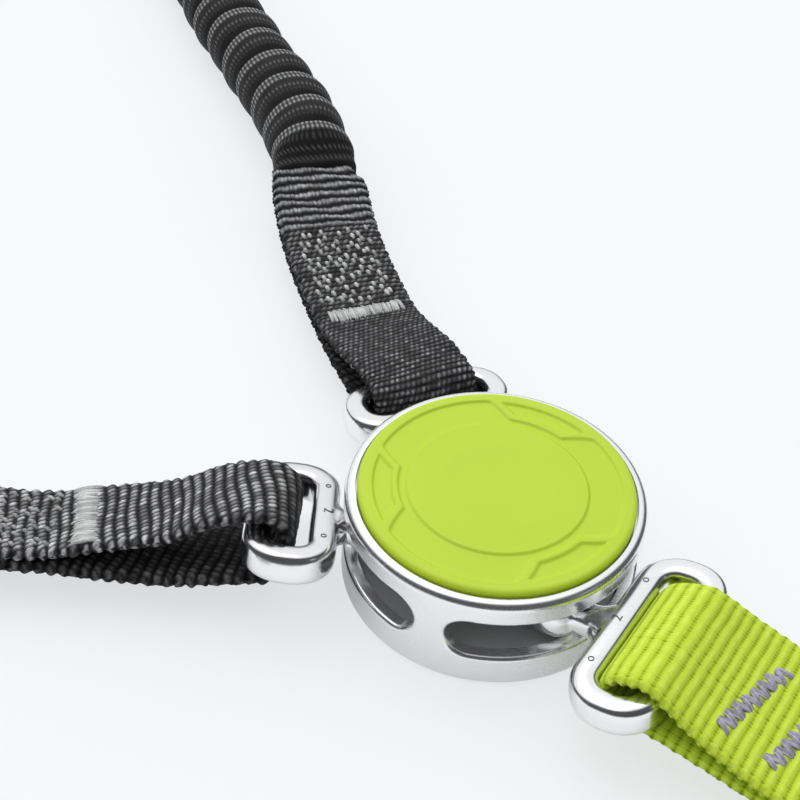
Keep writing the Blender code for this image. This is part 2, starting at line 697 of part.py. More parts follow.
def make_pad():
    """Moulded pad with a raised rim, three lens-shaped lands and a dished middle."""
    rim = PAD_HEIGHT
    field = rim - PAD_STEP
    edge = (PAD_RADIUS - PAD_EDGE_ROUND, rim - PAD_EDGE_ROUND)
    profile = [(0.0, PAD_UNDERSIDE), (PAD_RADIUS, PAD_UNDERSIDE)]
    profile += arc_points(edge, PAD_EDGE_ROUND, 0.0, math.pi / 2, steps=2)
    profile += [
        (PAD_RING_RADIUS, rim + PAD_CROWN / 4),
        (PAD_RING_RADIUS - PAD_STEP, field + PAD_CROWN / 4),
        (PAD_MIDDLE_RADIUS, field + PAD_CROWN / 2),
        (PAD_MIDDLE_RADIUS - PAD_STEP, field + PAD_CROWN / 2 + PAD_STEP),
        (PAD_DISH_RADIUS, field + PAD_CROWN + PAD_STEP),
        (0.0, field + PAD_CROWN),
    ]
    pad = add_object("top_pad", turned_mesh(profile, HUB_FACETS), MATERIALS["lime_pad"])
    land_inner = PAD_RING_RADIUS - PAD_LAND_WIDTH
    land_top = rim + PAD_CROWN / 4
    margin_angle = PAD_POCKET_MARGIN / PAD_RING_RADIUS
    for index in range(SLOT_COUNT):
        azimuth = slot_azimuth(index)
        land = land_outline(
            land_inner, PAD_RING_RADIUS + PAD_STEP, PAD_LAND_FLAT_HALF_ANGLE, PAD_LAND_HALF_ANGLE, azimuth,
        )
        join(pad, scratch_object(prism_mesh(land, PAD_UNDERSIDE + PAD_STEP, land_top)))
        pocket = land_outline(
            land_inner + PAD_POCKET_MARGIN, PAD_RING_RADIUS - PAD_STEP,
            PAD_LAND_FLAT_HALF_ANGLE - margin_angle, PAD_LAND_HALF_ANGLE - 2 * margin_angle, azimuth,
        )
        cut(pad, scratch_object(prism_mesh(pocket, rim - PAD_POCKET_DEPTH, rim + CUT_OVERRUN)))
    shade(pad, math.radians(25.0))


def make_hub():
    make_housing_cup()
    make_core_drum()
    make_glide_ring("lower_glide_ring", HUB_FLOOR + FIT_GAP, LOWER_GLIDE_THICKNESS)
    make_glide_ring("upper_glide_ring", UPPER_GLIDE_LOW, UPPER_GLIDE_THICKNESS)
    make_cover_plate()
    make_centre_bolt()
    make_pad()


# Links

def neck_length(foot_azimuth, link_azimuth, pitch):
    """From the ball's centre to the near bar, whose tilted edge just clears the housing."""
    lean = abs(math.sin(pitch)) * LINK_THICKNESS / 2
    plan = HUB_RADIUS + LINK_STANDOFF + lean - BALL_TRACK_RADIUS * math.cos(link_azimuth - foot_azimuth)
    return plan / math.cos(pitch)


def far_bar_reach(neck):
    """From the ball's centre to the middle of the link's far bar."""
    return neck + LINK_BAR + LINK_WINDOW_DEPTH + LINK_BAR / 2


def link_line(window_length, neck):
    """Rounded rectangle along the middle of the link's bar, in the link's own plane."""
    near = neck + LINK_BAR / 2
    far = far_bar_reach(neck)
    half = (window_length + LINK_BAR) / 2
    radius = LINK_CORNER_RADIUS
    corners = [
        ((far - radius, half - radius), 0.0),
        ((near + radius, half - radius), math.pi / 2),
        ((near + radius, radius - half), math.pi),
        ((far - radius, radius - half), 1.5 * math.pi),
    ]
    points = []
    for centre, start in corners:
        for x, y in arc_points(centre, radius, start, start + math.pi / 2, steps=5):
            points.append(Vector((x, y, 0.0)))
    return points


def make_link(name, window_length, travel_axis, foot_azimuth, link_azimuth, pitch, roll):
    """Frame, flared neck and ball foot forged in one, with the ball's centre as its origin."""
    neck = neck_length(foot_azimuth, link_azimuth, pitch)
    line = link_line(window_length, neck)
    stations = []
    for point, along in zip(line, tangents(line, closed=True)):
        stations.append(rounded_section(point, along.cross(UP), UP, LINK_BAR / 2, LINK_THICKNESS / 2))
    link = add_object(name, swept_mesh(stations, closed=True), MATERIALS["forged_aluminium"])
    flare = [
        (0.0, NECK_RADIUS),
        (neck - NECK_RADIUS / 2, NECK_RADIUS),
        (neck - NECK_RADIUS / 8, NECK_RADIUS * NECK_SWELL_SHARE),
        (neck + LINK_BAR / 8, NECK_FLARE_WIDTH / 2 * NECK_SHOULDER_SHARE),
        (neck + LINK_BAR / 2, NECK_FLARE_WIDTH / 2),
    ]
    stations = []
    for reach, half_width in flare:
        centre = Vector((reach, 0.0, 0.0))
        stations.append(
            rounded_section(centre, Vector((0.0, 1.0, 0.0)), UP, half_width, NECK_RADIUS, squareness=2.3)
        )
    join(link, scratch_object(swept_mesh(stations)))
    join(link, scratch_object(ball_mesh(BALL_RADIUS)))
    shade(link, math.radians(40.0))
    foot = polar(BALL_TRACK_RADIUS, foot_azimuth)
    foot.z = SLOT_MIDDLE_HEIGHT
    link.parent = travel_axis
    link.location = foot
    link.rotation_euler = (roll, -pitch, link_azimuth)


def link_bar_frame(foot_azimuth, link_azimuth, pitch):
    """Middle of the link's far bar in plan, its height, its outward direction and its side."""
    outward = polar(1.0, link_azimuth)
    reach = far_bar_reach(neck_length(foot_azimuth, link_azimuth, pitch))
    middle = polar(BALL_TRACK_RADIUS, foot_azimuth) + outward * (reach * math.cos(pitch))
    return middle, SLOT_MIDDLE_HEIGHT + reach * math.sin(pitch), outward, UP.cross(outward)


# Webbing

def folded_side(bar_section, bar_height, bar_pitch, slack, length, heights, upper, lower):
    """Side route of webbing doubled back round a bar, as (reach, height) points.

    bar_section is the bar's width and thickness, slack how far the fold stands off in
    front of, above and below it, and heights the lower layer's at rest and at its end.
    """
    clear = FIT_GAP + WEBBING_THICKNESS / 2
    rest_height, end_height = heights
    front = bar_section[0] / 2 + clear + slack[0]
    over = bar_section[1] / 2 + clear + slack[1]
    under = bar_section[1] / 2 + clear + slack[2]
    top = bar_height + over
    bottom = bar_height - under
    route = []
    for reach, rise, lift in upper:
        flat = rest_height + LAYER_SPACING
        height = flat + (top - flat) * rise + (end_height - rest_height) * lift
        route.append((reach * length, height))
    for share in FOLD_TURN_SHARES:
        angle = math.pi / 2 + math.pi * share
        along = -front * abs(math.cos(angle)) ** FOLD_SQUARENESS_SHARE
        rise = abs(math.sin(angle)) ** FOLD_SQUARENESS_SHARE * (over if share < 0.5 else -under)
        reach = along * math.cos(bar_pitch) - rise * math.sin(bar_pitch)
        height = bar_height + along * math.sin(bar_pitch) + rise * math.cos(bar_pitch)
        route.append((reach, height))
    for reach, rise, lift in lower:
        height = rest_height + (bottom - rest_height) * rise + (end_height - rest_height) * lift
        route.append((reach * length, height))
    return route


def strap_points(side_route, samples=2):
    """Smooth a side route and return its points as (reach, height)."""
    return [(p.x, p.y) for p in smooth_curve([(r, h, 0.0) for r, h in side_route], samples)]


def straight_strap_mesh(side_route, start, outward, width, samples=2):
    """Webbing along a straight plan line."""
    points = [start + outward * reach + UP * height for reach, height in strap_points(side_route, samples)]
    return webbing_mesh(points, [UP.cross(outward)] * len(points), width)


def rolled_strap_mesh(side_route, start, outward, width, rolls, axis_heights):
    """Webbing along a straight plan line, its roll and its roll axis changing to its end."""
    reaches = [reach for reach, height in side_route]
    points = []
    sides = []
    for reach, height in strap_points(side_route):
        share = min(max(reach / max(reaches), 0.0), 1.0)
        lift = Matrix.Rotation(rolls[0] + (rolls[1] - rolls[0]) * share, 3, outward)
        axis_height = axis_heights[0] + (axis_heights[1] - axis_heights[0]) * share
        points.append(start + outward * reach + UP * axis_height + lift @ (UP * (height - axis_height)))
        sides.append(lift @ UP.cross(outward))
    return webbing_mesh(points, sides, width)


def walk(points):
    """Running length at each point of a line."""
    lengths = [0.0]
    for before, after in zip(points, points[1:]):
        lengths.append(lengths[-1] + (after - before).length)
    return lengths


def spot_along(points, lengths, distance):
    """Point and heading at a distance along a line."""
    distance = min(max(distance, 0.0), lengths[-1])
    index = max(k for k in range(len(points) - 1) if lengths[k] <= distance)
    share = (distance - lengths[index]) / (lengths[index + 1] - lengths[index])
    headings = tangents(points)
    heading = headings[index].lerp(headings[index + 1], share).normalized()
    return points[index].lerp(points[index + 1], share), heading


def make_elastic(name, plan_points, start, parent):
    """Pleated elastic tube: a crest and a fold for each rib, straight at both ends.

    Returns its length and the place and heading of its far end.
    """
    route = []
    reach = 0.0
    for index, (x, y) in enumerate(plan_points):
        before = plan_points[max(index - 1, 0)]
        reach += math.hypot(x - before[0], y - before[1])
        settle = min(reach / ELASTIC_SETTLE_LENGTH, 1.0)
        height = ELASTIC_START_HEIGHT + (ELASTIC_AXIS_HEIGHT - ELASTIC_START_HEIGHT) * settle
        route.append((start.x + x, start.y + y, height))
    plan = smooth_curve(route, 12)
    lengths = walk(plan)
    total = lengths[-1]
    straight = 2 * ELASTIC_RADIUS
    ribs = int((total - 2 * straight) / ELASTIC_PITCH)
    pitch = (total - 2 * straight) / ribs
    stops = [(0.0, ELASTIC_FOLD_RADIUS), (straight, ELASTIC_FOLD_RADIUS)]
    for rib in range(ribs):
        stops.append((straight + (rib + ELASTIC_SWELL_SHARE) * pitch, ELASTIC_RADIUS))
        stops.append((straight + (rib + ELASTIC_PLEAT_SHARE) * pitch, ELASTIC_FOLD_RADIUS))
    stops.append((total, ELASTIC_FOLD_RADIUS))
    curve = bpy.data.curves.new(name, "CURVE")
    curve.dimensions = "3D"
    curve.bevel_depth = ELASTIC_RADIUS
    curve.bevel_resolution = 2
    curve.use_fill_caps = True
    spline = curve.splines.new("POLY")
    spline.points.add(len(stops) - 1)
    for point, (distance, radius) in zip(spline.points, stops):
        spot, _ = spot_along(plan, lengths, distance)
        point.co = (spot.x, spot.y, spot.z, 1.0)
        point.radius = radius / ELASTIC_RADIUS
    curve.materials.append(MATERIALS["dark_fabric"])
    obj = bpy.data.objects.new(name, curve)
    bpy.context.scene.collection.objects.link(obj)
    obj.parent = parent
    end = plan[-1]
    before, _ = spot_along(plan, lengths, total - straight)
    return total, end, (end - before).normalized()


# Carabiner, in its own plane: +X from the strap bar to the basket, +Y to the gate

def in_plane(shares):
    """A point of the carabiner's plane from shares of its length and width."""
    return Vector((shares[0] * CARABINER_LENGTH, shares[1] * CARABINER_WIDTH, 0.0))


def gate_pin_point():
    """Middle of the gate's pin."""
    return Vector((GATE_PIN_REACH, GATE_PIN_WIDTH_SHARE * CARABINER_WIDTH, 0.0))


def gate_direction():
    """Unit direction of the closed gate, from its pin to the nose."""
    return polar(1.0, GATE_SLANT)


def frame_line():
    """Middle line of the frame: gate pin, strap bar, spine, basket and nose."""
    pivot = gate_pin_point()
    nose = pivot + gate_direction() * GATE_LENGTH
    nose_back = nose + gate_direction() * NOSE_TONGUE_LENGTH
    bar_x = STRAP_BAR_WIDTH / 2
    eye_half = EYE_LENGTH / 2
    corner = EYE_CORNER_RADIUS
    points = [pivot, Vector((bar_x + corner + (pivot.x - bar_x - corner) * GATE_LEG_SHARE, pivot.y, 0.0))]
    for along, across in ((1.0, 1.0), (0.3, 0.7), (0.0, 0.0), (0.0, -eye_half / corner)):
        points.append(Vector((bar_x + corner * along, eye_half + corner * across, 0.0)))
    for along, across in ((0.0, 0.0), (0.3, 0.7), (1.0, 1.0)):
        points.append(Vector((bar_x + corner * along, -eye_half - corner * across, 0.0)))
    points += [in_plane(shares) for shares in SPINE_SHARES]
    far_x = CARABINER_LENGTH - CARABINER_BAR_WIDTH / 2
    for along, across in BASKET_SHARES:
        points.append(Vector((nose_back.x + (far_x - nose_back.x) * along, nose_back.y * across, 0.0)))
    points += [nose_back, nose]
    return points


def carabiner_frame_mesh():
    """Bar of rounded section, thinner and narrower along the strap bar."""
    line = smooth_curve(frame_line(), 2)
    headings = tangents(line)
    headings[-1] = -gate_direction()
    stations = []
    for point, along in zip(line, headings):
        blend = min(max((point.x - STRAP_BAR_WIDTH / 2) / STRAP_BAR_BLEND, 0.0), 1.0)
        width = STRAP_BAR_WIDTH + (CARABINER_BAR_WIDTH - STRAP_BAR_WIDTH) * blend
        thickness = STRAP_BAR_THICKNESS + (CARABINER_THICKNESS - STRAP_BAR_THICKNESS) * blend
        stations.append(
            rounded_section(point, along.cross(UP), UP, width / 2, thickness / 2, squareness=2.8)
        )
    return swept_mesh(stations)


def make_frame(name, empty):
    """Carabiner frame with its tang, nose tongue, lever slot and pin holes."""
    pivot = gate_pin_point()
    tang_half = TANG_THICKNESS / 2
    reach = CARABINER_THICKNESS / 2 + CUT_OVERRUN
    at_pivot = Matrix.Translation(pivot)
    frame = add_object(name, carabiner_frame_mesh(), MATERIALS["forged_aluminium"])
    shoulder = GATE_EYE_RADIUS + RUNNING_GAP
    cut(frame, scratch_object(rod_mesh(shoulder, tang_half, reach, 24), at_pivot))
    cut(frame, scratch_object(rod_mesh(shoulder, -reach, -tang_half, 24), at_pivot))
    join(frame, scratch_object(rod_mesh(GATE_EYE_RADIUS - RUNNING_GAP, -tang_half, tang_half, 24), at_pivot))
    cut(frame, scratch_object(rod_mesh(PIN_RADIUS + FIT_GAP, -reach, reach, 16), at_pivot))
    nose = pivot + gate_direction() * GATE_LENGTH
    tongue = []
    for distance in (-NOSE_TONGUE_LENGTH, NOSE_TONGUE_LENGTH):
        centre = nose + gate_direction() * distance
        across = gate_direction().cross(UP)
        tongue.append(
            rounded_section(
                centre, across, UP, NOSE_TONGUE_WIDTH / 2, NOSE_TONGUE_THICKNESS / 2, sides=8, squareness=6.0,
            )
        )
    join(frame, scratch_object(swept_mesh(tongue)))
    lever_pivot = lever_pivot_point()
    slot_half = LEVER_TANG_THICKNESS / 2 + RUNNING_GAP
    slot_low = (lever_pivot.x - LEVER_EYE_RADIUS * 2, lever_pivot.y - CARABINER_BAR_WIDTH, -slot_half)
    slot_high = (
        lever_pivot.x + LEVER_EYE_RADIUS * 2, lever_pivot.y + LEVER_EYE_RADIUS + RUNNING_GAP, slot_half,
    )
    cut(frame, scratch_object(box_mesh(slot_low, slot_high)))
    at_lever = Matrix.Translation(lever_pivot)
    cut(frame, scratch_object(rod_mesh(LEVER_PIN_RADIUS + FIT_GAP, -reach, reach, 12), at_lever))
    shade(frame, math.radians(40.0))
    frame.parent = empty


def make_gate(name, gate_axis):
    """Gate with its forked eye, nose notch and plunger bore; its pin is the origin."""
    along = gate_direction()
    length = GATE_LENGTH - RUNNING_GAP
    half = GATE_THICKNESS / 2
    stations = []
    for place, size in GATE_SWELL_SHARES:
        centre = along * (length * place)
        stations.append(
            rounded_section(centre, along.cross(UP), UP, GATE_WIDTH / 2 * size, half, squareness=2.8)
        )
    gate = add_object(name, swept_mesh(stations), MATERIALS["gate_aluminium"])
    join(gate, scratch_object(rod_mesh(GATE_EYE_RADIUS, -half, half, 24)))
    fork_half = TANG_THICKNESS / 2 + RUNNING_GAP
    reach = half + CUT_OVERRUN
    cut(gate, scratch_object(rod_mesh(gate_fork_radius(), -fork_half, fork_half, 24)))
    cut(gate, scratch_object(rod_mesh(PIN_RADIUS + FIT_GAP, -reach, reach, 16)))
    turn = Matrix.Rotation(GATE_SLANT, 4, "Z")
    notch_half = NOSE_TONGUE_THICKNESS / 2 + RUNNING_GAP
    notch_start = length - NOSE_TONGUE_LENGTH - RUNNING_GAP
    notch = box_mesh((notch_start, -GATE_WIDTH, -notch_half), (length + CUT_OVERRUN, GATE_WIDTH, notch_half))
    cut(gate, scratch_object(notch, turn))
    bore_end = gate_fork_radius() + PLUNGER_LENGTH + FIT_GAP
    bore = rod_mesh(PLUNGER_RADIUS + FIT_GAP, 0.0, bore_end, 12)
    cut(gate, scratch_object(bore, turn @ Matrix.Rotation(math.pi / 2, 4, "Y")))
    shade(gate, math.radians(40.0))
    gate.parent = gate_axis


def gate_fork_radius():
    """Floor of the gate's fork, which turns round the frame's tang."""
    return GATE_EYE_RADIUS + 2 * RUNNING_GAP


def make_plunger(name, gate_axis):
    """Sprung plunger in the gate's bore, bearing on the tang."""
    mesh = rod_mesh(PLUNGER_RADIUS, GATE_EYE_RADIUS, gate_fork_radius() + PLUNGER_LENGTH, 12)
    plunger = add_object(name, mesh, MATERIALS["steel"])
    plunger.rotation_euler = (0.0, math.pi / 2, GATE_SLANT)
    plunger.parent = gate_axis


def make_lever(name, lever_axis, lever_pivot):
    """Palm lever: curved plate, web and eye, with its pin as the origin."""
    line = smooth_curve([in_plane(shares) - lever_pivot for shares in LEVER_SHARES], 2)
    last = len(line) - 1
    stations = []
    for index, (point, along) in enumerate(zip(line, tangents(line))):
        taper = 0.72 if index in (0, last) else 1.0
        half_width = LEVER_WIDTH / 2 * taper
        stations.append(
            rounded_section(point, along.cross(UP), UP, LEVER_THICKNESS / 2 * taper, half_width, sides=10)
        )
    lever = add_object(name, swept_mesh(stations), MATERIALS["lever_plastic"])
    half = LEVER_TANG_THICKNESS / 2
    reach = half + CUT_OVERRUN
    join(lever, scratch_object(rod_mesh(LEVER_EYE_RADIUS, -half, half, 16)))
    web_end = in_plane(LEVER_SHARES[1]).y - lever_pivot.y
    web = box_mesh((-LEVER_EYE_RADIUS, web_end, -half), (LEVER_EYE_RADIUS, 0.0, half))
    join(lever, scratch_object(web))
    cut(lever, scratch_object(rod_mesh(LEVER_PIN_RADIUS + FIT_GAP, -reach, reach, 12)))
    shade(lever, math.radians(40.0))
    lever.parent = lever_axis


def lever_pivot_point():
    """Lever pin, a little outside the middle of the spine."""
    spine = [p for p in smooth_curve(frame_line(), 12) if p.y < 0]
    target = LEVER_PIVOT_SHARE * CARABINER_LENGTH
    nearest = min(spine, key=lambda p: abs(p.x - target))
    return Vector((nearest.x, nearest.y - LEVER_PIVOT_BEHIND_SPINE, 0.0))


def make_pin(name, radius, location, empty):
    """Rivet flush with the carabiner's flanks."""
    half = CARABINER_THICKNESS / 2 - FIT_GAP
    pin = add_object(name, rod_mesh(radius, -half, half, 12), MATERIALS["steel"])
    pin.location = location
    pin.parent = empty


def make_carabiner(prefix, empty):
    """Frame, gate with its pin and plunger, and palm lever with its pin."""
    pivot = gate_pin_point()
    lever_pivot = lever_pivot_point()
    gate_axis = add_empty(prefix + "_gate_axis", pivot, (0.0, 0.0, 0.0), empty)
    lever_axis = add_empty(prefix + "_lever_axis", lever_pivot, (0.0, 0.0, 0.0), empty)
    make_frame(prefix + "_frame", empty)
    make_gate(prefix + "_gate", gate_axis)
    make_plunger(prefix + "_gate_plunger", gate_axis)
    make_pin(prefix + "_gate_pin", PIN_RADIUS, pivot, empty)
    make_lever(prefix + "_lever", lever_axis, lever_pivot)
    make_pin(prefix + "_lever_pin", LEVER_PIN_RADIUS, lever_pivot, empty)


def make_keeper(name, empty):
    """Rubber band that holds the two layers of the end loop together."""
    across = Vector((0.0, 1.0, 0.0))
    half_width = ARM_WEBBING_WIDTH / 2 + FIT_GAP
    half_height = LAYER_SPACING / 2 + WEBBING_THICKNESS / 2 + FIT_GAP
    outer = []
    inner = []
    for end in (-1, 1):
        centre = Vector((end * KEEPER_LENGTH / 2, 0.0, 0.0))
        outer.append(
            rounded_section(centre, across, UP, half_width + KEEPER_WALL, half_height + KEEPER_WALL, 20, 7.0)
        )
        centre = Vector((end * KEEPER_LENGTH, 0.0, 0.0))
        inner.append(rounded_section(centre, across, UP, half_width, half_height, 20, 9.0))
    keeper = add_object(name, swept_mesh(outer), MATERIALS["rubber"])
    cut(keeper, scratch_object(swept_mesh(inner)))
    shade(keeper, math.radians(40.0))
    keeper.parent = empty


# Arms

def make_arm_end(side, end, heading, travel_axis):
    """End loop, keeper and carabiner in line with the end of the elastic."""
    turn = math.atan2(heading.y, heading.x)
    bar = Vector((end.x, end.y, 0.0)) + heading * (FIT_GAP + END_LOOP_LENGTH)
    origin = bar - heading * (STRAP_BAR_WIDTH / 2)
    origin.z = CARABINER_HEIGHT
    end_height = ELASTIC_AXIS_HEIGHT - LAYER_SPACING / 2
    route = folded_side(
        (STRAP_BAR_WIDTH, STRAP_BAR_THICKNESS), CARABINER_HEIGHT, 0.0, END_FOLD_SLACK, END_LOOP_LENGTH,
        (END_LOOP_REST_HEIGHT, end_height), END_UPPER_SHARES, END_LOWER_SHARES,
    )
    mesh = straight_strap_mesh(route, bar, -heading, ARM_WEBBING_WIDTH, samples=1)
    add_object(side + "_end_loop", mesh, MATERIALS["dark_webbing"]).parent = travel_axis
    keeper_place = bar - heading * KEEPER_FROM_BAR
    keeper_place.z = END_LOOP_REST_HEIGHT + LAYER_SPACING / 2
    keeper_axis = add_empty(side + "_keeper_place", keeper_place, (0.0, 0.0, turn), travel_axis)
    make_keeper(side + "_keeper", keeper_axis)
    empty = add_empty(side + "_carabiner_place", origin, (0.0, 0.0, turn), travel_axis)
    make_carabiner(side + "_carabiner", empty)


def make_rear_arm():
    travel = add_empty("rear_travel_axis", (0.0, 0.0, 0.0), (0.0, 0.0, 0.0))
    make_link(
        "rear_link", ARM_WINDOW_LENGTH, travel, REAR_FOOT_AZIMUTH, REAR_LINK_AZIMUTH, REAR_LINK_PITCH, 0.0,
    )
    start, bar_height, outward, side = link_bar_frame(REAR_FOOT_AZIMUTH, REAR_LINK_AZIMUTH, REAR_LINK_PITCH)
    route = folded_side(
        (LINK_BAR, LINK_THICKNESS), bar_height, REAR_LINK_PITCH, REAR_FOLD_SLACK, REAR_STRAP_LENGTH,
        (REAR_STRAP_REST_HEIGHT, ELASTIC_START_HEIGHT - LAYER_SPACING / 2),
        REAR_UPPER_SHARES, REAR_LOWER_SHARES,
    )
    plan = smooth_curve([start + outward * u + side * v for u, v in REAR_STRAP_PLAN], 8)
    lengths = walk(plan)
    bar_distance = lengths[8]
    points = []
    sides = []
    for reach, height in strap_points(route):
        spot, heading = spot_along(plan, lengths, bar_distance + reach)
        points.append(spot + UP * height)
        sides.append(UP.cross(heading))
    mesh = webbing_mesh(points, sides, ARM_WEBBING_WIDTH)
    add_object("rear_strap", mesh, MATERIALS["dark_webbing"]).parent = travel
    spot, _ = spot_along(plan, lengths, bar_distance + REAR_STRAP_LENGTH + STRAP_END_GAP)
    total, end, heading = make_elastic("rear_elastic", REAR_ELASTIC_PLAN, spot, travel)
    make_arm_end("rear", end, heading, travel)
    return total


def make_left_arm():
    travel = add_empty("left_travel_axis", (0.0, 0.0, 0.0), (0.0, 0.0, 0.0))
    make_link(
        "left_link", ARM_WINDOW_LENGTH, travel, LEFT_FOOT_AZIMUTH, LEFT_LINK_AZIMUTH, LEFT_LINK_PITCH,
        LEFT_LINK_ROLL,
    )
    start, bar_height, outward, side = link_bar_frame(LEFT_FOOT_AZIMUTH, LEFT_LINK_AZIMUTH, LEFT_LINK_PITCH)
    route = folded_side(
        (LINK_BAR, LINK_THICKNESS), bar_height, LEFT_LINK_PITCH, LEFT_FOLD_SLACK, LEFT_STRAP_LENGTH,
        (LEFT_STRAP_REST_HEIGHT, ELASTIC_START_HEIGHT - LAYER_SPACING / 2),
        LEFT_UPPER_SHARES, LEFT_LOWER_SHARES,
    )
    mesh = rolled_strap_mesh(
        route, start, outward, ARM_WEBBING_WIDTH, (LEFT_STRAP_FOLD_ROLL, LEFT_STRAP_END_ROLL),
        (bar_height, ELASTIC_START_HEIGHT),
    )
    add_object("left_strap", mesh, MATERIALS["dark_webbing"]).parent = travel
    spot = start + outward * (LEFT_STRAP_LENGTH + STRAP_END_GAP)
    total, end, heading = make_elastic("left_elastic", LEFT_ELASTIC_PLAN, spot, travel)
    make_arm_end("left", end, heading, travel)
    return total


# Tail: lime webbing, energy absorber and tie-in loop

def make_pouch(start, outward, side, travel):
    """Open-ended fabric sleeve round the folded webbing."""
    middle = UP * (POUCH_HEIGHT / 2)
    outer = []
    inner = []
    for reach in (0.0, POUCH_LENGTH):
        centre = start + outward * reach + middle
        outer.append(
            cornered_section(centre, side, UP, POUCH_WIDTH / 2, POUCH_HEIGHT / 2, POUCH_CORNER)
        )
    half_width = POUCH_WIDTH / 2 - POUCH_WALL
    half_height = POUCH_HEIGHT / 2 - POUCH_WALL
    for reach in (-CUT_OVERRUN, POUCH_LENGTH + CUT_OVERRUN):
        centre = start + outward * reach + middle
        inner.append(
            cornered_section(centre, side, UP, half_width, half_height, POUCH_CORNER - POUCH_WALL)
        )
    pouch = add_object("absorber_pouch", swept_mesh(outer), MATERIALS["dark_fabric"])
    cut(pouch, scratch_object(swept_mesh(inner)))
    shade(pouch, math.radians(40.0))
    pouch.parent = travel


def make_tear_webbing(start, outward, side, travel):
    """Webbing folded to and fro in the pouch, which tears open layer by layer in a fall."""
    margin = POUCH_INSERT + FIT_GAP + WEBBING_THICKNESS / 2 + LAYER_SPACING / 2
    run = POUCH_LENGTH - 2 * margin
    points = []
    for index in range(PACK_LAYERS):
        height = POUCH_LAYER_HEIGHT + LAYER_SPACING * index
        outgoing = index % 2 == 0
        for share in (0.0, 0.5, 1.0):
            place = share if outgoing else 1 - share
            points.append(start + outward * (margin + run * place) + UP * height)
        if index < PACK_LAYERS - 1:
            turn = margin + run + LAYER_SPACING / 2 if outgoing else margin - LAYER_SPACING / 2
            points.append(start + outward * turn + UP * (height + LAYER_SPACING / 2))
    mesh = webbing_mesh(points, [side] * len(points), TAIL_WEBBING_WIDTH)
    add_object("tear_webbing", mesh, MATERIALS["lime_webbing"]).parent = travel


def make_tie_in_loop(start, outward, side, travel):
    """Loop that girth-hitches to a harness, its two ends held in the pouch."""
    points = []
    for reach, rise in TIE_IN_UPPER_SHARES:
        height = tie_in_height(reach) + LAYER_SPACING + TIE_IN_EYE_HEIGHT * rise
        points.append(Vector((TIE_IN_LENGTH * reach, height, 0.0)))
    apex_height = TIE_IN_REST_HEIGHT + LAYER_SPACING / 2 + TIE_IN_EYE_HEIGHT * TIE_IN_APEX_SHARE
    points.append(Vector((TIE_IN_LENGTH, apex_height, 0.0)))
    turn_reach, turn_rise = TIE_IN_TURN_SHARES
    turn_height = TIE_IN_REST_HEIGHT + LAYER_SPACING * turn_rise
    points.append(Vector((TIE_IN_LENGTH * turn_reach, turn_height, 0.0)))
    for reach, rise in TIE_IN_LOWER_SHARES:
        height = tie_in_height(reach) + TIE_IN_EYE_HEIGHT * rise
        points.append(Vector((TIE_IN_LENGTH * reach, height, 0.0)))
    route = [start + outward * p.x + UP * p.y for p in smooth_curve(points, 2)]
    mesh = webbing_mesh(route, [side] * len(route), TAIL_WEBBING_WIDTH)
    add_object("tie_in_loop", mesh, MATERIALS["lime_webbing"]).parent = travel


def tie_in_height(reach):
    """Height of the loop's lower layer: level with the pack in the pouch, then on the floor."""
    start, end = TIE_IN_SETTLE_SHARES
    settle = min(max((reach - start) / (end - start), 0.0), 1.0)
    return POUCH_LAYER_HEIGHT + (TIE_IN_REST_HEIGHT - POUCH_LAYER_HEIGHT) * settle


def make_tail():
    travel = add_empty("tail_travel_axis", (0.0, 0.0, 0.0), (0.0, 0.0, 0.0))
    make_link(
        "tail_link", TAIL_WINDOW_LENGTH, travel, TAIL_FOOT_AZIMUTH, TAIL_LINK_AZIMUTH, TAIL_LINK_PITCH, 0.0,
    )
    start, bar_height, outward, side = link_bar_frame(TAIL_FOOT_AZIMUTH, TAIL_LINK_AZIMUTH, TAIL_LINK_PITCH)
    route = folded_side(
        (LINK_BAR, LINK_THICKNESS), bar_height, TAIL_LINK_PITCH, TAIL_FOLD_SLACK, TAIL_STRAP_LENGTH,
        (POUCH_LAYER_HEIGHT, POUCH_LAYER_HEIGHT), TAIL_UPPER_SHARES, TAIL_LOWER_SHARES,
    )
    mesh = rolled_strap_mesh(
        route, start, outward, TAIL_WEBBING_WIDTH, (TAIL_STRAP_FOLD_ROLL, 0.0),
        (bar_height, POUCH_LAYER_HEIGHT + LAYER_SPACING / 2),
    )
    add_object("tail_strap", mesh, MATERIALS["lime_webbing"]).parent = travel
    pouch_start = start + outward * (TAIL_STRAP_LENGTH - POUCH_INSERT)
    make_pouch(pouch_start, outward, side, travel)
    make_tear_webbing(pouch_start, outward, side, travel)
    make_tie_in_loop(pouch_start + outward * (POUCH_LENGTH - POUCH_INSERT), outward, side, travel)


clear_scene()
MATERIALS = make_materials()
make_hub()
rear_length = make_rear_arm()
left_length = make_left_arm()
make_tail()
bpy.context.view_layer.update()
print(f"elastic lengths: rear {rear_length:.4f} m, left {left_length:.4f} m")
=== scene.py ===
"""Looks of the via ferrata lanyard: turned hub and moulded pad, forged links,
woven and stitched webbing, pleated elastics, carabiners, absorber and tie-in loop.

Metres, in the frame of the part: +Z up, the hub's underside centre at the origin.
"""

import math

import bmesh
import bpy
import numpy as np
from mathutils import Matrix, Vector


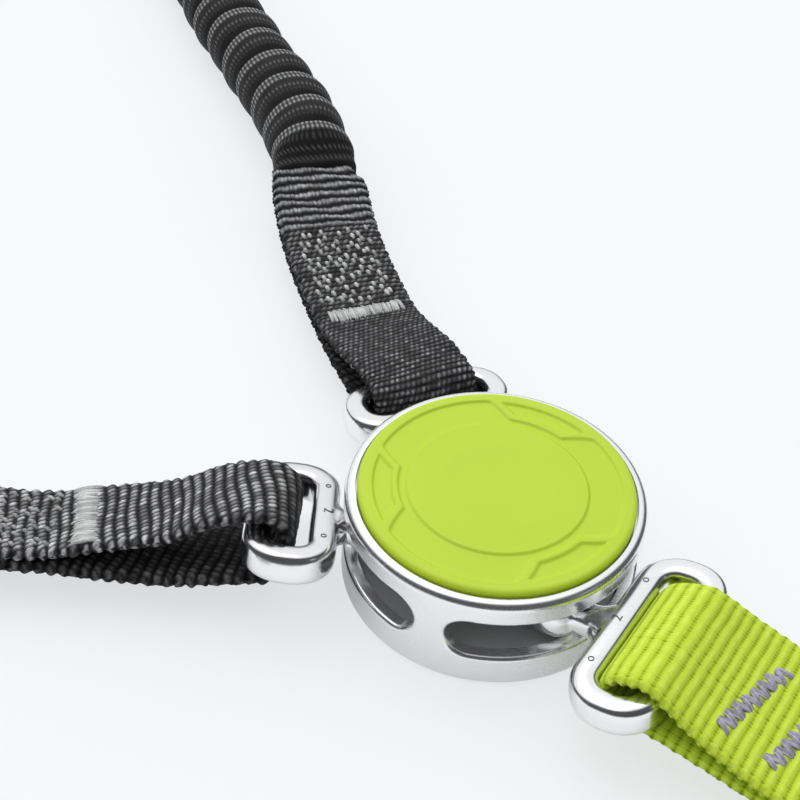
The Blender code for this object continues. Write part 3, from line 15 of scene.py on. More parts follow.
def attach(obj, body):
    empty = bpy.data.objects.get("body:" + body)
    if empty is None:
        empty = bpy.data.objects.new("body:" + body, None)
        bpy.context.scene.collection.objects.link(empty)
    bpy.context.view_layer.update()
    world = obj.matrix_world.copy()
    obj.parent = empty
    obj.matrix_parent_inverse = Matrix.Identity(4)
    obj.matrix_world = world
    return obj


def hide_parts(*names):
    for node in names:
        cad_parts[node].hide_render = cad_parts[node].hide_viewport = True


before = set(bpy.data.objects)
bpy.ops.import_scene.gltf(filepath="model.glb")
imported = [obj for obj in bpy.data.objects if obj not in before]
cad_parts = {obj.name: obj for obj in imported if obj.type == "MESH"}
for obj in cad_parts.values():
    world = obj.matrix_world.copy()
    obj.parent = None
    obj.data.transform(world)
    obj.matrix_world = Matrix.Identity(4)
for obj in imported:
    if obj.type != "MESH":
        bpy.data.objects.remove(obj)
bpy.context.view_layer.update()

UP = Vector((0.0, 0.0, 1.0))

# Camera
VIEW_ELEVATION = math.radians(42.153)
VIEW_ROLL = math.radians(4.012)
VIEW_DISTANCE = 0.2636975
VIEW_OFFSET = (-0.0143134, 0.0278004)
LENS = 72.0

# Hub, as in the solids
HUB_RADIUS = 0.0240
HUB_WALL = 0.0022
HUB_FLOOR = 0.0033
HUB_HEIGHT = 0.0183
HUB_BASE_ROUND = 0.0014
HUB_LIP_ROUND = 0.0013
WALL_TOLERANCE = 0.00002
LEVEL_TOLERANCE = 0.02
COVER_TOP = 0.0167
PAD_UNDERSIDE = 0.0170
PAD_HEIGHT = 0.0193
PAD_RADIUS = 0.02205
PAD_EDGE_ROUND = 0.0008
PAD_STEP = 0.00025
PAD_CROWN = 0.0004
PAD_RING_RADIUS = 0.01985
PAD_MIDDLE_RADIUS = 0.0144
PAD_DISH_RADIUS = 0.0090
PAD_LAND_WIDTH = 0.0042
PAD_LAND_HALF_ANGLE = math.radians(28.5)
PAD_LAND_FLAT_HALF_ANGLE = math.radians(17.0)
PAD_POCKET_MARGIN = 0.0011
PAD_POCKET_DEPTH = 0.0004
SLOT_MIDDLE_HEIGHT = 0.0101
SLOT_HEIGHT = 0.0075
SLOT_EDGE_ROUND = 0.0008
SLOT_TRAVEL_HALF_ANGLE = math.radians(44.3)
SLOT_AZIMUTHS = [math.radians(azimuth) for azimuth in (-54.0, 66.0, 186.0)]
BOSS_RADIUS = 0.0050
BOSS_TOP = 0.0078
DRUM_RADIUS = 0.0140
CUT_OVERRUN = 0.002
BOLT_BORE_RADIUS = 0.0033

# Links
BALL_TRACK_RADIUS = 0.0188
BALL_RADIUS = 0.0045
NECK_RADIUS = 0.0025
LINK_STANDOFF = 0.0004
LINK_BAR = 0.0045
LINK_THICKNESS = 0.0055
LINK_SECTION = (LINK_BAR, LINK_THICKNESS)
LINK_CORNER_RADIUS = 0.0046
LINK_WINDOW_DEPTH = 0.0058
ARM_WINDOW_LENGTH = 0.0210
TAIL_WINDOW_LENGTH = 0.0256
REAR_FOOT_AZIMUTH = math.radians(109.6)
LEFT_FOOT_AZIMUTH = math.radians(188.7)
TAIL_FOOT_AZIMUTH = math.radians(-58.8)
REAR_LINK_AZIMUTH = math.radians(112.5)
LEFT_LINK_AZIMUTH = math.radians(180.0)
TAIL_LINK_AZIMUTH = math.radians(-29.5)
REAR_LINK_PITCH = math.radians(-9.9)
LEFT_LINK_PITCH = math.radians(5.0)
TAIL_LINK_PITCH = math.radians(9.2)
LEFT_LINK_ROLL = math.radians(15.0)
MARK_LIFT = 0.00002
MARK_LINE = 0.00016
MARK_RING_RADIUS = 0.00040
MARK_RING_SHARE = 0.36
MARK_DIGIT_SIZE = 0.0024

# Necks of the links: share of the neck's length, half width and half height in neck radii.
# The last station ends inside the frame's near bar.
NECK_STATIONS = np.array([
    (0.00, 1.00, 1.00), (0.35, 1.00, 1.00), (0.62, 1.00, 1.00), (0.80, 1.08, 1.00),
    (0.92, 1.35, 1.00), (1.00, 1.72, 1.02), (1.08, 2.1808, 1.02), (1.20, 2.32, 1.02),
])
NECK_END_SHARE = 0.55

# Webbing
FIT_GAP = 0.0003
LAYER_GAP = 0.0004
STRAP_END_GAP = 0.0006
WEBBING_THICKNESS = 0.0016
LAYER_SPACING = WEBBING_THICKNESS + LAYER_GAP
ARM_WEBBING_WIDTH = 0.0190
TAIL_WEBBING_WIDTH = 0.0250
REAR_STRAP_LENGTH = 0.0670
LEFT_STRAP_LENGTH = 0.0685
TAIL_STRAP_LENGTH = 0.0680
REAR_STRAP_REST_HEIGHT = 0.0052
LEFT_STRAP_REST_HEIGHT = 0.0049
REAR_FOLD_SLACK = (0.0010, 0.0005, 0.0005)
LEFT_FOLD_SLACK = (0.0018, 0.0008, 0.0024)
TAIL_FOLD_SLACK = (0.0036, 0.0001, 0.0004)
END_FOLD_SLACK = (0.0, 0.0, 0.0)
LEFT_STRAP_FOLD_ROLL = math.radians(17.5)
LEFT_STRAP_END_ROLL = math.radians(12.0)
TAIL_STRAP_FOLD_ROLL = math.radians(-2.0)

# Elastics
ELASTIC_RADIUS = 0.0080
ELASTIC_FOLD_RADIUS = 0.0062
ELASTIC_PITCH = 0.0094
ELASTIC_AXIS_HEIGHT = 0.0083
ELASTIC_START_HEIGHT = 0.0092
ELASTIC_SETTLE_LENGTH = 0.0600
CUFF_LENGTH = 0.0050
CUFF_OVERLAP = 0.0008
CUFF_HALF_WIDTH = 0.0083
CUFF_HALF_HEIGHT = 0.0027
END_PLEAT_SHARE = 0.34
PLEAT_SWELL = 0.0003
PLEAT_BEND_SWELL = 0.0011
PLEAT_EXTRA_DEPTH = 0.0013
PLEAT_WOBBLE = 0.00016
BEND_GAIN = 0.16
CUFF_SQUARENESS = 2.4
END_STITCH_ROWS = (0.0006, 0.0020, 0.0034)
END_STITCH_HALF_WIDTH = 0.00025
END_STITCH_REACH = 0.0042
# Span from the ends over which the painted shade in the pleats' folds fades in
END_FOLD_SHADE_SPAN = (0.0030, 0.0040)
STRAP_END_HEIGHT = ELASTIC_START_HEIGHT - LAYER_SPACING / 2
LOOP_END_HEIGHT = ELASTIC_AXIS_HEIGHT - LAYER_SPACING / 2

# Arm ends
END_LOOP_LENGTH = 0.0450
END_LOOP_REST_HEIGHT = 0.0040
STRAP_BAR_WIDTH = 0.0076
STRAP_BAR_THICKNESS = 0.0056
CARABINER_HEIGHT = 0.0055
KEEPER_LENGTH = 0.0090
KEEPER_WALL = 0.0014
KEEPER_FROM_BAR = 0.0290

# Absorber and tie-in loop
POUCH_LENGTH = 0.1060
POUCH_WALL = 0.0015
POUCH_CORNER = 0.0050
POUCH_HEM = 0.0004
POUCH_SAG = 0.0003
POUCH_INSERT = 0.0030
POUCH_WIDTH = 0.0320
PACK_LAYERS = 7
POUCH_HEIGHT = 2 * (POUCH_WALL + FIT_GAP) + PACK_LAYERS * LAYER_SPACING
POUCH_LAYER_HEIGHT = POUCH_WALL + FIT_GAP + WEBBING_THICKNESS / 2
TIE_IN_LENGTH = 0.1195
TIE_IN_EYE_HEIGHT = 0.0090
TIE_IN_REST_HEIGHT = 0.0015

# Fineness of the meshes
WEAVE_STEP = 0.00026
WIDE_WEAVE_STEP = 0.00030
HIDDEN_WEAVE_STEP = 0.0006
END_LOOP_STEP = 0.00036
TIE_IN_STEP = 0.00039
ELASTIC_STEP = 0.0004
ELASTIC_COLUMNS = 96
SLEEVE_STEP = 0.0006
SLEEVE_CORNER_STEPS = 12
HUB_FACETS = 240
PAD_ROWS = 130
PAD_COLUMNS = 480
SLOT_FLARE_STEPS = 7
SLOT_END_STEPS = 16
SLOT_SIDE_STEPS = 40
LINK_SIDES = 28
LINK_CORNER_STEPS = 12
FORGED_GRAIN = 0.00022
AXIS_RING = 0.0002
PLAN_SAMPLES = 8
ROUTE_SAMPLES = 12
ELASTIC_SAMPLES = 24
BEND_REACH = 40
CORD_POINT_EVERY = 12

# Weave of the two webbings
DARK_ROW = 0.00185
DARK_TUFT = 0.00118
DARK_SLANT_SHARE = 0.85
FINE_ROW = 0.00105
FINE_TUFT = 0.00100
LIME_ROW = 0.00180
LIME_THREAD = 0.00060
REAR_RIB = 0.00230
REAR_RIB_THREAD = 0.00085
REAR_RELIEF = 0.00036
LEFT_RELIEF = 0.00044
LIME_RELIEF = 0.00036
EDGE_PITCH = 0.0022
EDGE_SHARPNESS = 14
EDGE_CROWDING = 0.35
EDGE_CROWDING_TURN = math.pi / 2 * 0.92
EDGE_WAVE = 1900.0
DRIFT_WAVE = 410.0
FACE_OFFSET = 0.00037

# Widths of the laid webbing: the tail is drawn in at its fold, the rear strap at its elastic
TAIL_LAID_WIDTH = 0.0270
TAIL_SQUEEZE_SHARE = 0.148
TAIL_SQUEEZE_LENGTH = 0.0150
TAIL_FOLD_SHIFT = 0.0011
REAR_SHOULDER = 0.0060
REAR_SHOULDER_SHARE = 0.15
REAR_SHOULDER_SHIFT = 0.0009

# Sewing: places along the straps, from their links' far bars
REAR_RIBS_FROM_BAR = 0.0495
REAR_TACK_FROM_BAR = 0.0220
FINE_ZONE_LENGTH = 0.0400
REAR_TACK_LENGTH = 0.0042
REAR_TACK_HALF_WIDTH = 0.0068
LEFT_ROW_SHEAR = 0.17
LEFT_TACK_FROM_BAR = 0.0243
LEFT_TACK_LENGTH = 0.0056
LEFT_TACK_HALF_WIDTH = 0.0088
TACK_UNEVEN = 0.0008
TACK_THREAD_RADIUS = 0.00026
THREAD_ARCH = 0.00062
DASH_THREAD_RADIUS = 0.00040
DASH_LENGTH = 0.0016
END_TACK_SPAN = (0.0120, 0.0165)
ZIGZAG_FROM_BAR = 0.0087
ZIGZAG_SPACING = 0.0085
ZIGZAG_START_ACROSS = -0.0095
ZIGZAG_REACH = (0.0040, 0.0163)
ZIGZAG_HALF_WIDTH = 0.0018
ZIGZAG_STROKES = 16
ZIGZAG_STRANDS = 4
ZIGZAG_STRAND_GAP = 0.00024
ZIGZAG_THREAD_RADIUS = 0.00017
ZIGZAG_ARCH = 0.00055

# Side shapes of the straps, as in the solids: share of the length, of the rise to the
# bar, and of the rise to the outer end
REAR_UPPER_SHARES = [
    (1.00, 0.0, 1.0), (0.83, 0.0, 0.40), (0.64, 0.0, 0.0), (0.45, 0.0, 0.0), (0.31, 0.13, 0.0),
    (0.18, 0.58, 0.0), (0.08, 0.95, 0.0),
]
REAR_LOWER_SHARES = [
    (0.09, 0.75, 0.0), (0.18, 0.30, 0.0), (0.31, 0.0, 0.0), (0.45, 0.0, 0.0), (0.64, 0.0, 0.0),
    (0.83, 0.0, 0.40), (1.00, 0.0, 1.0),
]
LEFT_UPPER_SHARES = [
    (1.00, 0.0, 1.0), (0.80, 0.0, 0.45), (0.61, 0.0, 0.0), (0.47, 0.06, 0.0), (0.35, 0.26, 0.0),
    (0.20, 0.50, 0.0), (0.09, 0.86, 0.0),
]
LEFT_LOWER_SHARES = [
    (0.09, -0.2, 0.0), (0.20, -1.6, 0.0), (0.35, -1.2, 0.0), (0.47, -0.35, 0.0), (0.61, 0.0, 0.0),
    (0.80, 0.0, 0.45), (1.00, 0.0, 1.0),
]
TAIL_UPPER_SHARES = [
    (1.00, 0.0, 1.0), (0.76, 0.04, 1.0), (0.56, 0.13, 1.0), (0.40, 0.26, 1.0), (0.28, 0.41, 1.0),
    (0.18, 0.57, 1.0), (0.10, 0.73, 1.0), (0.045, 0.88, 1.0),
]
TAIL_LOWER_SHARES = [
    (0.07, 0.99, 1.0), (0.16, 0.90, 1.0), (0.26, 0.75, 1.0), (0.38, 0.60, 1.0), (0.56, 0.37, 1.0),
    (0.76, 0.10, 1.0), (1.00, 0.0, 1.0),
]
END_UPPER_SHARES = [
    (1.00, 0.0, 1.0), (0.90, 0.0, 0.55), (0.77, 0.0, 0.0), (0.51, 0.0, 0.0), (0.30, 0.40, 0.0),
    (0.15, 0.88, 0.0),
]
END_LOWER_SHARES = END_UPPER_SHARES[::-1]
FOLD_TURN_SHARES = [0.0, 0.18, 0.36, 0.5, 0.64, 0.82, 1.0]
FOLD_SQUARENESS_SHARE = 0.8
TIE_IN_UPPER_SHARES = [
    (0.0, 0.0), (0.04, 0.0), (0.16, 0.0), (0.32, 0.02), (0.50, 0.16), (0.68, 0.48), (0.82, 0.86),
    (0.92, 1.0), (0.985, 0.72),
]
TIE_IN_LOWER_SHARES = [
    (0.86, 0.02), (0.68, 0.0), (0.50, 0.0), (0.32, 0.0), (0.16, 0.0), (0.04, 0.0), (0.0, 0.0),
]
TIE_IN_SETTLE_SHARES = (0.04, 0.16)
TIE_IN_APEX_SHARE = 0.35
TIE_IN_TURN_SHARES = (0.97, 0.55)

# Plan of the rear strap in its link's frame, and plans of the elastics from where the straps end
REAR_STRAP_PLAN = [
    (-0.0130, -0.0004), (0.0000, 0.0000), (0.0169, 0.0019), (0.0325, 0.0016), (0.0499, 0.0003),
    (0.0691, -0.0028),
]
REAR_ELASTIC_PLAN = [
    (0.0000, 0.0000), (-0.0042, 0.0148), (-0.0110, 0.0305), (-0.0199, 0.0490), (-0.0291, 0.0690),
    (-0.0377, 0.0907), (-0.0454, 0.1137), (-0.0524, 0.1377), (-0.0614, 0.1597), (-0.0759, 0.1772),
    (-0.0954, 0.1857), (-0.1159, 0.1797), (-0.1289, 0.1627), (-0.1339, 0.1417), (-0.1349, 0.1267),
]
LEFT_ELASTIC_PLAN = [
    (0.0000, 0.0000), (-0.0170, 0.0000), (-0.0360, 0.0008), (-0.0560, 0.0018), (-0.0760, 0.0018),
    (-0.0960, 0.0008), (-0.1160, -0.0012), (-0.1370, -0.0046), (-0.1600, -0.0120), (-0.1770, -0.0250),
    (-0.1840, -0.0420), (-0.1800, -0.0600), (-0.1670, -0.0720), (-0.1470, -0.0768), (-0.1240, -0.0772),
]


def place_camera():
    """Camera at the photograph's viewing angle."""
    right = Vector((1.0, 0.0, 0.0))
    up = Vector((0.0, math.sin(VIEW_ELEVATION), math.cos(VIEW_ELEVATION)))
    back = Vector((0.0, -math.cos(VIEW_ELEVATION), math.sin(VIEW_ELEVATION)))
    rolled_right = right * math.cos(VIEW_ROLL) + up * math.sin(VIEW_ROLL)
    rolled_up = up * math.cos(VIEW_ROLL) - right * math.sin(VIEW_ROLL)
    place = back * VIEW_DISTANCE + rolled_right * VIEW_OFFSET[0] + rolled_up * VIEW_OFFSET[1]
    turn = Matrix((rolled_right, rolled_up, back)).transposed().to_4x4()
    lens = bpy.data.cameras.new("camera")
    lens.lens = LENS
    lens.clip_start = 0.01
    camera = bpy.data.objects.new("camera", lens)
    bpy.context.scene.collection.objects.link(camera)
    camera.matrix_world = Matrix.Translation(place) @ turn
    bpy.context.scene.camera = camera


# Lines and places

def polar(radius, azimuth):
    """A point of the plan from its radius and azimuth."""
    return Vector((radius * math.cos(azimuth), radius * math.sin(azimuth), 0.0))


def smooth_curve(points, samples):
    """A Catmull-Rom curve through a route's points."""
    route = [Vector(point) for point in points]
    route = [route[0] * 2 - route[1]] + route + [route[-1] * 2 - route[-2]]
    curve = []
    for index in range(1, len(route) - 2):
        before, start, end, after = route[index - 1:index + 3]
        for step in range(samples):
            t = step / samples
            curve.append(
                0.5 * (
                    2 * start + (end - before) * t
                    + (2 * before - 5 * start + 4 * end - after) * t * t
                    + (3 * start - before - 3 * end + after) * t * t * t
                )
            )
    curve.append(route[-2].copy())
    return curve


def running_length(line):
    """Distance along a line at each of its points."""
    steps = np.linalg.norm(np.diff(line, axis=0), axis=1)
    return np.concatenate([[0.0], np.cumsum(steps)])


def pick(values, lengths, wanted):
    """Values along a line at other distances."""
    return np.stack([np.interp(wanted, lengths, values[:, k]) for k in range(values.shape[1])], axis=1)


def unit(vectors):
    return vectors / np.linalg.norm(vectors, axis=-1, keepdims=True)


def directions(line):
    """Unit directions along a line of evenly spaced points."""
    return unit(np.gradient(line, axis=0))


def link_bar_frame(foot_azimuth, link_azimuth, pitch):
    """Middle of a link's far bar in plan, its height, its outward direction and its side."""
    outward = polar(1.0, link_azimuth)
    reach = neck_length(foot_azimuth, link_azimuth, pitch) + LINK_BAR * 1.5 + LINK_WINDOW_DEPTH
    middle = polar(BALL_TRACK_RADIUS, foot_azimuth) + outward * (reach * math.cos(pitch))
    return middle, SLOT_MIDDLE_HEIGHT + reach * math.sin(pitch), outward, UP.cross(outward)


def neck_length(foot_azimuth, link_azimuth, pitch):
    """From the ball's centre to the near bar, whose tilted edge just clears the housing."""
    lean = abs(math.sin(pitch)) * LINK_THICKNESS / 2
    plan = HUB_RADIUS + LINK_STANDOFF + lean - BALL_TRACK_RADIUS * math.cos(link_azimuth - foot_azimuth)
    return plan / math.cos(pitch)


def folded_side(bar_section, bar_height, bar_pitch, slack, length, heights, upper, lower):
    """Side route of webbing doubled back round a bar, as (reach, height) points."""
    clear = FIT_GAP + WEBBING_THICKNESS / 2
    rest_height, end_height = heights
    front = bar_section[0] / 2 + clear + slack[0]
    over = bar_section[1] / 2 + clear + slack[1]
    under = bar_section[1] / 2 + clear + slack[2]
    top = bar_height + over
    bottom = bar_height - under
    route = []
    for reach, rise, lift in upper:
        flat = rest_height + LAYER_SPACING
        route.append((reach * length, flat + (top - flat) * rise + (end_height - rest_height) * lift, 0.0))
    for share in FOLD_TURN_SHARES:
        angle = math.pi / 2 + math.pi * share
        along = -front * abs(math.cos(angle)) ** FOLD_SQUARENESS_SHARE
        rise = abs(math.sin(angle)) ** FOLD_SQUARENESS_SHARE * (over if share < 0.5 else -under)
        reach = along * math.cos(bar_pitch) - rise * math.sin(bar_pitch)
        height = bar_height + along * math.sin(bar_pitch) + rise * math.cos(bar_pitch)
        route.append((reach, height, 0.0))
    for reach, rise, lift in lower:
        height = rest_height + (bottom - rest_height) * rise + (end_height - rest_height) * lift
        route.append((reach * length, height, 0.0))
    return smooth_curve(route, ROUTE_SAMPLES)


class Strap:
    """Middle line of a webbing, with its side directions, evenly stepped."""

    def __init__(self, points, sides, width, step):
        line = np.array([tuple(p) for p in points])
        side = np.array([tuple(s) for s in sides])
        lengths = running_length(line)
        count = max(int(lengths[-1] / step), 2)
        self.along = np.linspace(0.0, lengths[-1], count + 1)
        self.line = pick(line, lengths, self.along)
        self.side = unit(pick(side, lengths, self.along))
        self.normal = unit(np.cross(self.side, directions(self.line)))
        self.width = width
        self.step = step

    def spot(self, along, across, lift):
        """Points above the webbing's outer face, and the way up at each of them."""
        line = pick(self.line, self.along, along)
        side = pick(self.side, self.along, along)
        normal = unit(pick(self.normal, self.along, along))
        return line + side * across[:, None] + normal * (WEBBING_THICKNESS / 2 + lift)[:, None], normal


# Meshes

def new_object(name, vertices, faces, uvs=None, marks=None):
    """A mesh object, with a pattern map and marks at its points where given."""
    mesh = bpy.data.meshes.new(name)
    mesh.from_pydata(vertices.reshape(-1, 3).tolist(), [], faces)
    if uvs is not None:
        layer = mesh.uv_layers.new(name="weave")
        corner = np.empty(len(mesh.loops), dtype=np.int32)
        mesh.loops.foreach_get("vertex_index", corner)
        layer.data.foreach_set("uv", uvs.reshape(-1, 2)[corner].ravel())
    for mark, values in (marks or {}).items():
        store = mesh.attributes.new(mark, "FLOAT", "POINT")
        store.data.foreach_set("value", values.ravel().astype(np.float32))
    obj = bpy.data.objects.new(name, mesh)
    bpy.context.scene.collection.objects.link(obj)
    return obj


def weld_and_face_out(piece):
    """Merge doubled points and turn the faces outwards."""
    shape = bmesh.new()
    shape.from_mesh(piece.data)
    bmesh.ops.remove_doubles(shape, verts=shape.verts, dist=1e-7)
    bmesh.ops.recalc_face_normals(shape, faces=shape.faces)
    shape.to_mesh(piece.data)
    shape.free()


def dressed_piece(name, vertices, faces, material, body, uvs, marks=None):
    """A smooth piece with its pattern, its material and its body."""
    piece = new_object(name, vertices, faces, uvs, marks)
    piece.data.validate()
    piece.data.shade_smooth()
    piece.data.materials.append(MATERIALS[material])
    weld_and_face_out(piece)
    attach(piece, body)
    return piece


def ring_faces(rows, columns, closed_along=False):
    """Quads between closed rings of points, one ring to a row."""
    r, c = np.meshgrid(np.arange(rows if closed_along else rows - 1), np.arange(columns), indexing="ij")
    after_r = (r + 1) % rows
    after_c = (c + 1) % columns
    quads = [r * columns + c, r * columns + after_c, after_r * columns + after_c, after_r * columns + c]
    return np.stack(quads, axis=-1).reshape(-1, 4)


def tube_faces(rows, columns):
    """Quads between rings of points, and one face over each end."""
    last = (rows - 1) * columns
    caps = [list(range(columns)), [last + k for k in range(columns)][::-1]]
    return ring_faces(rows, columns).tolist() + caps


def flat_caps(rows, columns, turn_columns):
    """Quads over the two ends of a flat section, whose faces' points lie over each other."""
    caps = []
    for start, flip in ((0, False), ((rows - 1) * columns, True)):
        for k in range(columns // 2):
            steps = (turn_columns + k, turn_columns + k + 1, turn_columns - k - 2, turn_columns - k - 1)
            quad = [start + step % columns for step in steps]
            if len(set(quad)) == 4:
                caps.append(quad[::-1] if flip else quad)
    return caps


def sections(middle, beside, x, up, z):
    """Points round each place of a line: x beside it and z above it."""
    return middle[..., None, :] + beside[..., None, :] * x[..., None] + up[..., None, :] * z[..., None]


def hashed(a, b):
    """Steady irregular values between 0 and 1 from two whole numbers."""
    return np.mod(np.sin(a * 12.9898 + b * 78.233) * 43758.5453, 1.0)


def ramp(value, start, end):
    """0 before a start and 1 after an end, straight between them."""
    return np.clip((value - start) / (end - start), 0, 1)


def eased(value, edge, width):
    """0 below an edge and 1 above it, eased over a width."""
    share = np.clip((value - edge) / width + 0.5, 0, 1)
    return share * share * (3 - 2 * share)


def tuft_relief(along, across, row, tuft, slant, round_share=0.70):
    """Height of slanted tufts in staggered rows, and how pale each is."""
    place = along / row
    index = np.floor(place)
    a = place - index - 0.5
    b = across / tuft + 0.5 * np.mod(index, 2) + slant * a
    column = np.floor(b)
    b = b - column - 0.5
    ridge = np.clip(1 - (2 * a) ** 2, 0, 1) ** 0.60
    crown = np.clip(1 - (2 * b) ** 2 * 0.97, 0, 1) ** 0.5
    tone = hashed(index, column)
    return ridge * (1 - round_share + round_share * crown) * (0.86 + 0.28 * tone), tone


def woven_piece(
    name, strap, relief, material, body, edge_loop=0.0, edge_pitch=EDGE_PITCH, squeeze=None, wander=0.10,
):
    """Flat webbing with rounded edges, its weave raised in the mesh on both faces."""
    half = strap.width / 2
    shares = np.linspace(-1.0, 1.0, int(strap.width / strap.step) + 1)
    crowded = np.sin(shares * EDGE_CROWDING_TURN) / math.sin(EDGE_CROWDING_TURN)
    shares = crowded * EDGE_CROWDING + shares * (1 - EDGE_CROWDING)
    around = np.concatenate([shares, shares[::-1]])[None, :]
    side_face = np.repeat([[1.0, -1.0]], len(shares), axis=1)
    rows = len(strap.along)
    columns = around.shape[1]
    along = np.repeat(strap.along[:, None], columns, axis=1)
    across = np.repeat(around * half, rows, axis=0)
    drift = wander * DARK_ROW * np.sin(across / half * 3.1 + along * DRIFT_WAVE)
    height, tone = relief(along + drift, across + side_face * FACE_OFFSET)
    swell = np.sin(2 * math.pi * (along / edge_pitch + 0.25 * side_face)) + 0.35 * np.sin(along * EDGE_WAVE)
    reach = across + np.sign(around) * edge_loop * np.abs(around) ** 10 * swell
    if squeeze:
        share, shift = squeeze(strap.along)
        reach = reach * share[:, None] + shift[:, None]
    lens = np.clip(1 - np.abs(around) ** EDGE_SHARPNESS, 0, 1) ** 0.5
    rise = side_face * (WEBBING_THICKNESS / 2 * lens + height * np.clip(lens * 1.4, 0, 1))
    vertices = sections(strap.line, strap.side, reach, strap.normal, rise)
    faces = ring_faces(rows, columns)[:, ::-1].tolist() + flat_caps(rows, columns, 0)
    marks = {"crest": height / max(float(height.max()), 1e-9), "tone": tone}
    return dressed_piece(name, vertices, faces, material, body, np.stack([along, across], axis=-1), marks)


def threads_piece(name, strap, starts, ends, radius, arch, material, body, stations=7):
    """Short threads lying over a webbing, each from a start to an end (along, across)."""
    sides = 6
    block = stations * sides
    starts = np.array(starts)[:, None, :]
    ends = np.array(ends)[:, None, :]
    count = len(starts)
    share = np.linspace(0.0, 1.0, stations)
    places = (starts + (ends - starts) * share[None, :, None]).reshape(-1, 2)
    lift = np.tile(arch * np.sin(math.pi * share) ** 0.6 - radius * 0.9, count)
    middle, normal = strap.spot(places[:, 0], places[:, 1], lift)
    middle = middle.reshape(count, stations, 3)
    heading = unit(np.gradient(middle, axis=1))
    beside = unit(np.cross(heading, normal.reshape(count, stations, 3)))
    over = np.cross(beside, heading)
    girth = radius * (0.30 + 0.70 * np.sin(math.pi * np.clip(share, 0.06, 0.94)) ** 0.4)[:, None]
    angles = 2 * math.pi * np.arange(sides) / sides
    vertices = sections(middle, beside, np.cos(angles) * girth, over, np.sin(angles) * girth)
    tube = tube_faces(stations, sides)
    faces = [[corner + index * block for corner in face] for index in range(count) for face in tube]
    uvs = np.zeros((count, stations, sides, 2))
    uvs[..., 0] = (share * 0.004)[:, None]
    uvs[..., 1] = angles / (2 * math.pi) * radius * 6
    # Painted shade at each thread's ends, where it dives into the webbing
    tip_shade = np.clip(np.abs(share - 0.5) * 8 - 2.9, 0, 1)
    marks = {
        "tone": np.repeat(hashed(np.arange(count), 3.0), block),
        "tip_shade": np.tile(np.repeat(tip_shade, sides), count),
    }
    return dressed_piece(name, vertices, faces, material, body, uvs, marks)


# Materials

MATERIALS = {}


def grey(level, blue):
    """A near-grey colour: its red and green level, and its blue."""
    return (level, level, blue, 1)


def feed(tree, value, socket):
    """Link one socket into another, or set it to a plain value."""
    if isinstance(value, (int, float, tuple)):
        socket.default_value = value
    else:
        tree.links.new(value, socket)


def add_node(tree, kind, output, inputs):
    """One output of a new node whose inputs are sockets or plain values."""
    node = tree.nodes.new("ShaderNode" + kind)
    for label, value in inputs.items():
        feed(tree, value, node.inputs[label])
    return node.outputs[output]


def calc(tree, operation, *values):
    """A math node; values are sockets or numbers."""
    node = tree.nodes.new("ShaderNodeMath")
    node.operation = operation
    for socket, value in zip(node.inputs, values):
        feed(tree, value, socket)
    return node.outputs[0]


def times(tree, first, second):
    return calc(tree, "MULTIPLY", first, second)


def mixed(tree, first, second, share):
    """A share of one value and the rest of another."""
    return calc(tree, "ADD", times(tree, first, share), times(tree, second, 1 - share))


def waves(tree, distance, pitch):
    """A sine wave over a distance."""
    return calc(tree, "SINE", times(tree, distance, 2 * math.pi / pitch))


def blend_colours(tree, factor, first, second):
    """Mix two colours; each is a socket or an RGBA tuple."""
    node = tree.nodes.new("ShaderNodeMix")
    node.data_type = "RGBA"
    for place, value in ((0, factor), (6, first), (7, second)):
        feed(tree, value, node.inputs[place])
    return node.outputs[2]


def remap(tree, value, low, high, start=0.0, end=1.0):
    """A value moved from one range to another, held at its ends."""
    return add_node(tree, "MapRange", "Result", {
        "Value": value, "From Min": low, "From Max": high, "To Min": start, "To Max": end,
    })


def varied(tree, pattern, low, high):
    """A number or a colour that goes from low to high over the middle range of a pattern."""
    if isinstance(low, tuple):
        return blend_colours(tree, remap(tree, pattern, 0.3, 0.7), low, high)
    return remap(tree, pattern, 0.3, 0.7, low, high)


def noise(tree, vector, scale, detail=3.0, roughness=0.55):
    """Value of a noise pattern at a place."""
    return add_node(tree, "TexNoise", "Fac", {
        "Vector": vector, "Scale": scale, "Detail": detail, "Roughness": roughness,
    })


def stretched(tree, vector, scale):
    """A place stretched along its axes."""
    return add_node(tree, "Mapping", "Vector", {"Vector": vector, "Scale": scale})


def axes(tree, vector):
    """A place's distances along X, Y and Z."""
    node = tree.nodes.new("ShaderNodeSeparateXYZ")
    tree.links.new(vector, node.inputs[0])
    return node.outputs


def object_place(tree):
    return tree.nodes.new("ShaderNodeTexCoord").outputs["Object"]


def surface_place(tree):
    node = tree.nodes.new("ShaderNodeUVMap")
    node.uv_map = "weave"
    return node.outputs["UV"]


def attribute(tree, name):
    node = tree.nodes.new("ShaderNodeAttribute")
    node.attribute_name = name
    return node.outputs["Fac"]


def new_group(name, setting, outputs):
    """A node group that takes a place and one number; returns the tree and its two end nodes."""
    tree = bpy.data.node_groups.new(name, "ShaderNodeTree")
    tree.interface.new_socket(name="Place", in_out="INPUT", socket_type="NodeSocketVector")
    tree.interface.new_socket(name=setting, in_out="INPUT", socket_type="NodeSocketFloat")
    for label in outputs:
        tree.interface.new_socket(name=label, in_out="OUTPUT", socket_type="NodeSocketFloat")
    return tree, tree.nodes.new("NodeGroupInput"), tree.nodes.new("NodeGroupOutput")


def place_group(tree, group, **values):
    """The outputs of a group's node with its own values."""
    node = tree.nodes.new("ShaderNodeGroup")
    node.node_tree = group
    for label, value in values.items():
        feed(tree, value, node.inputs[label])
    return node.outputs


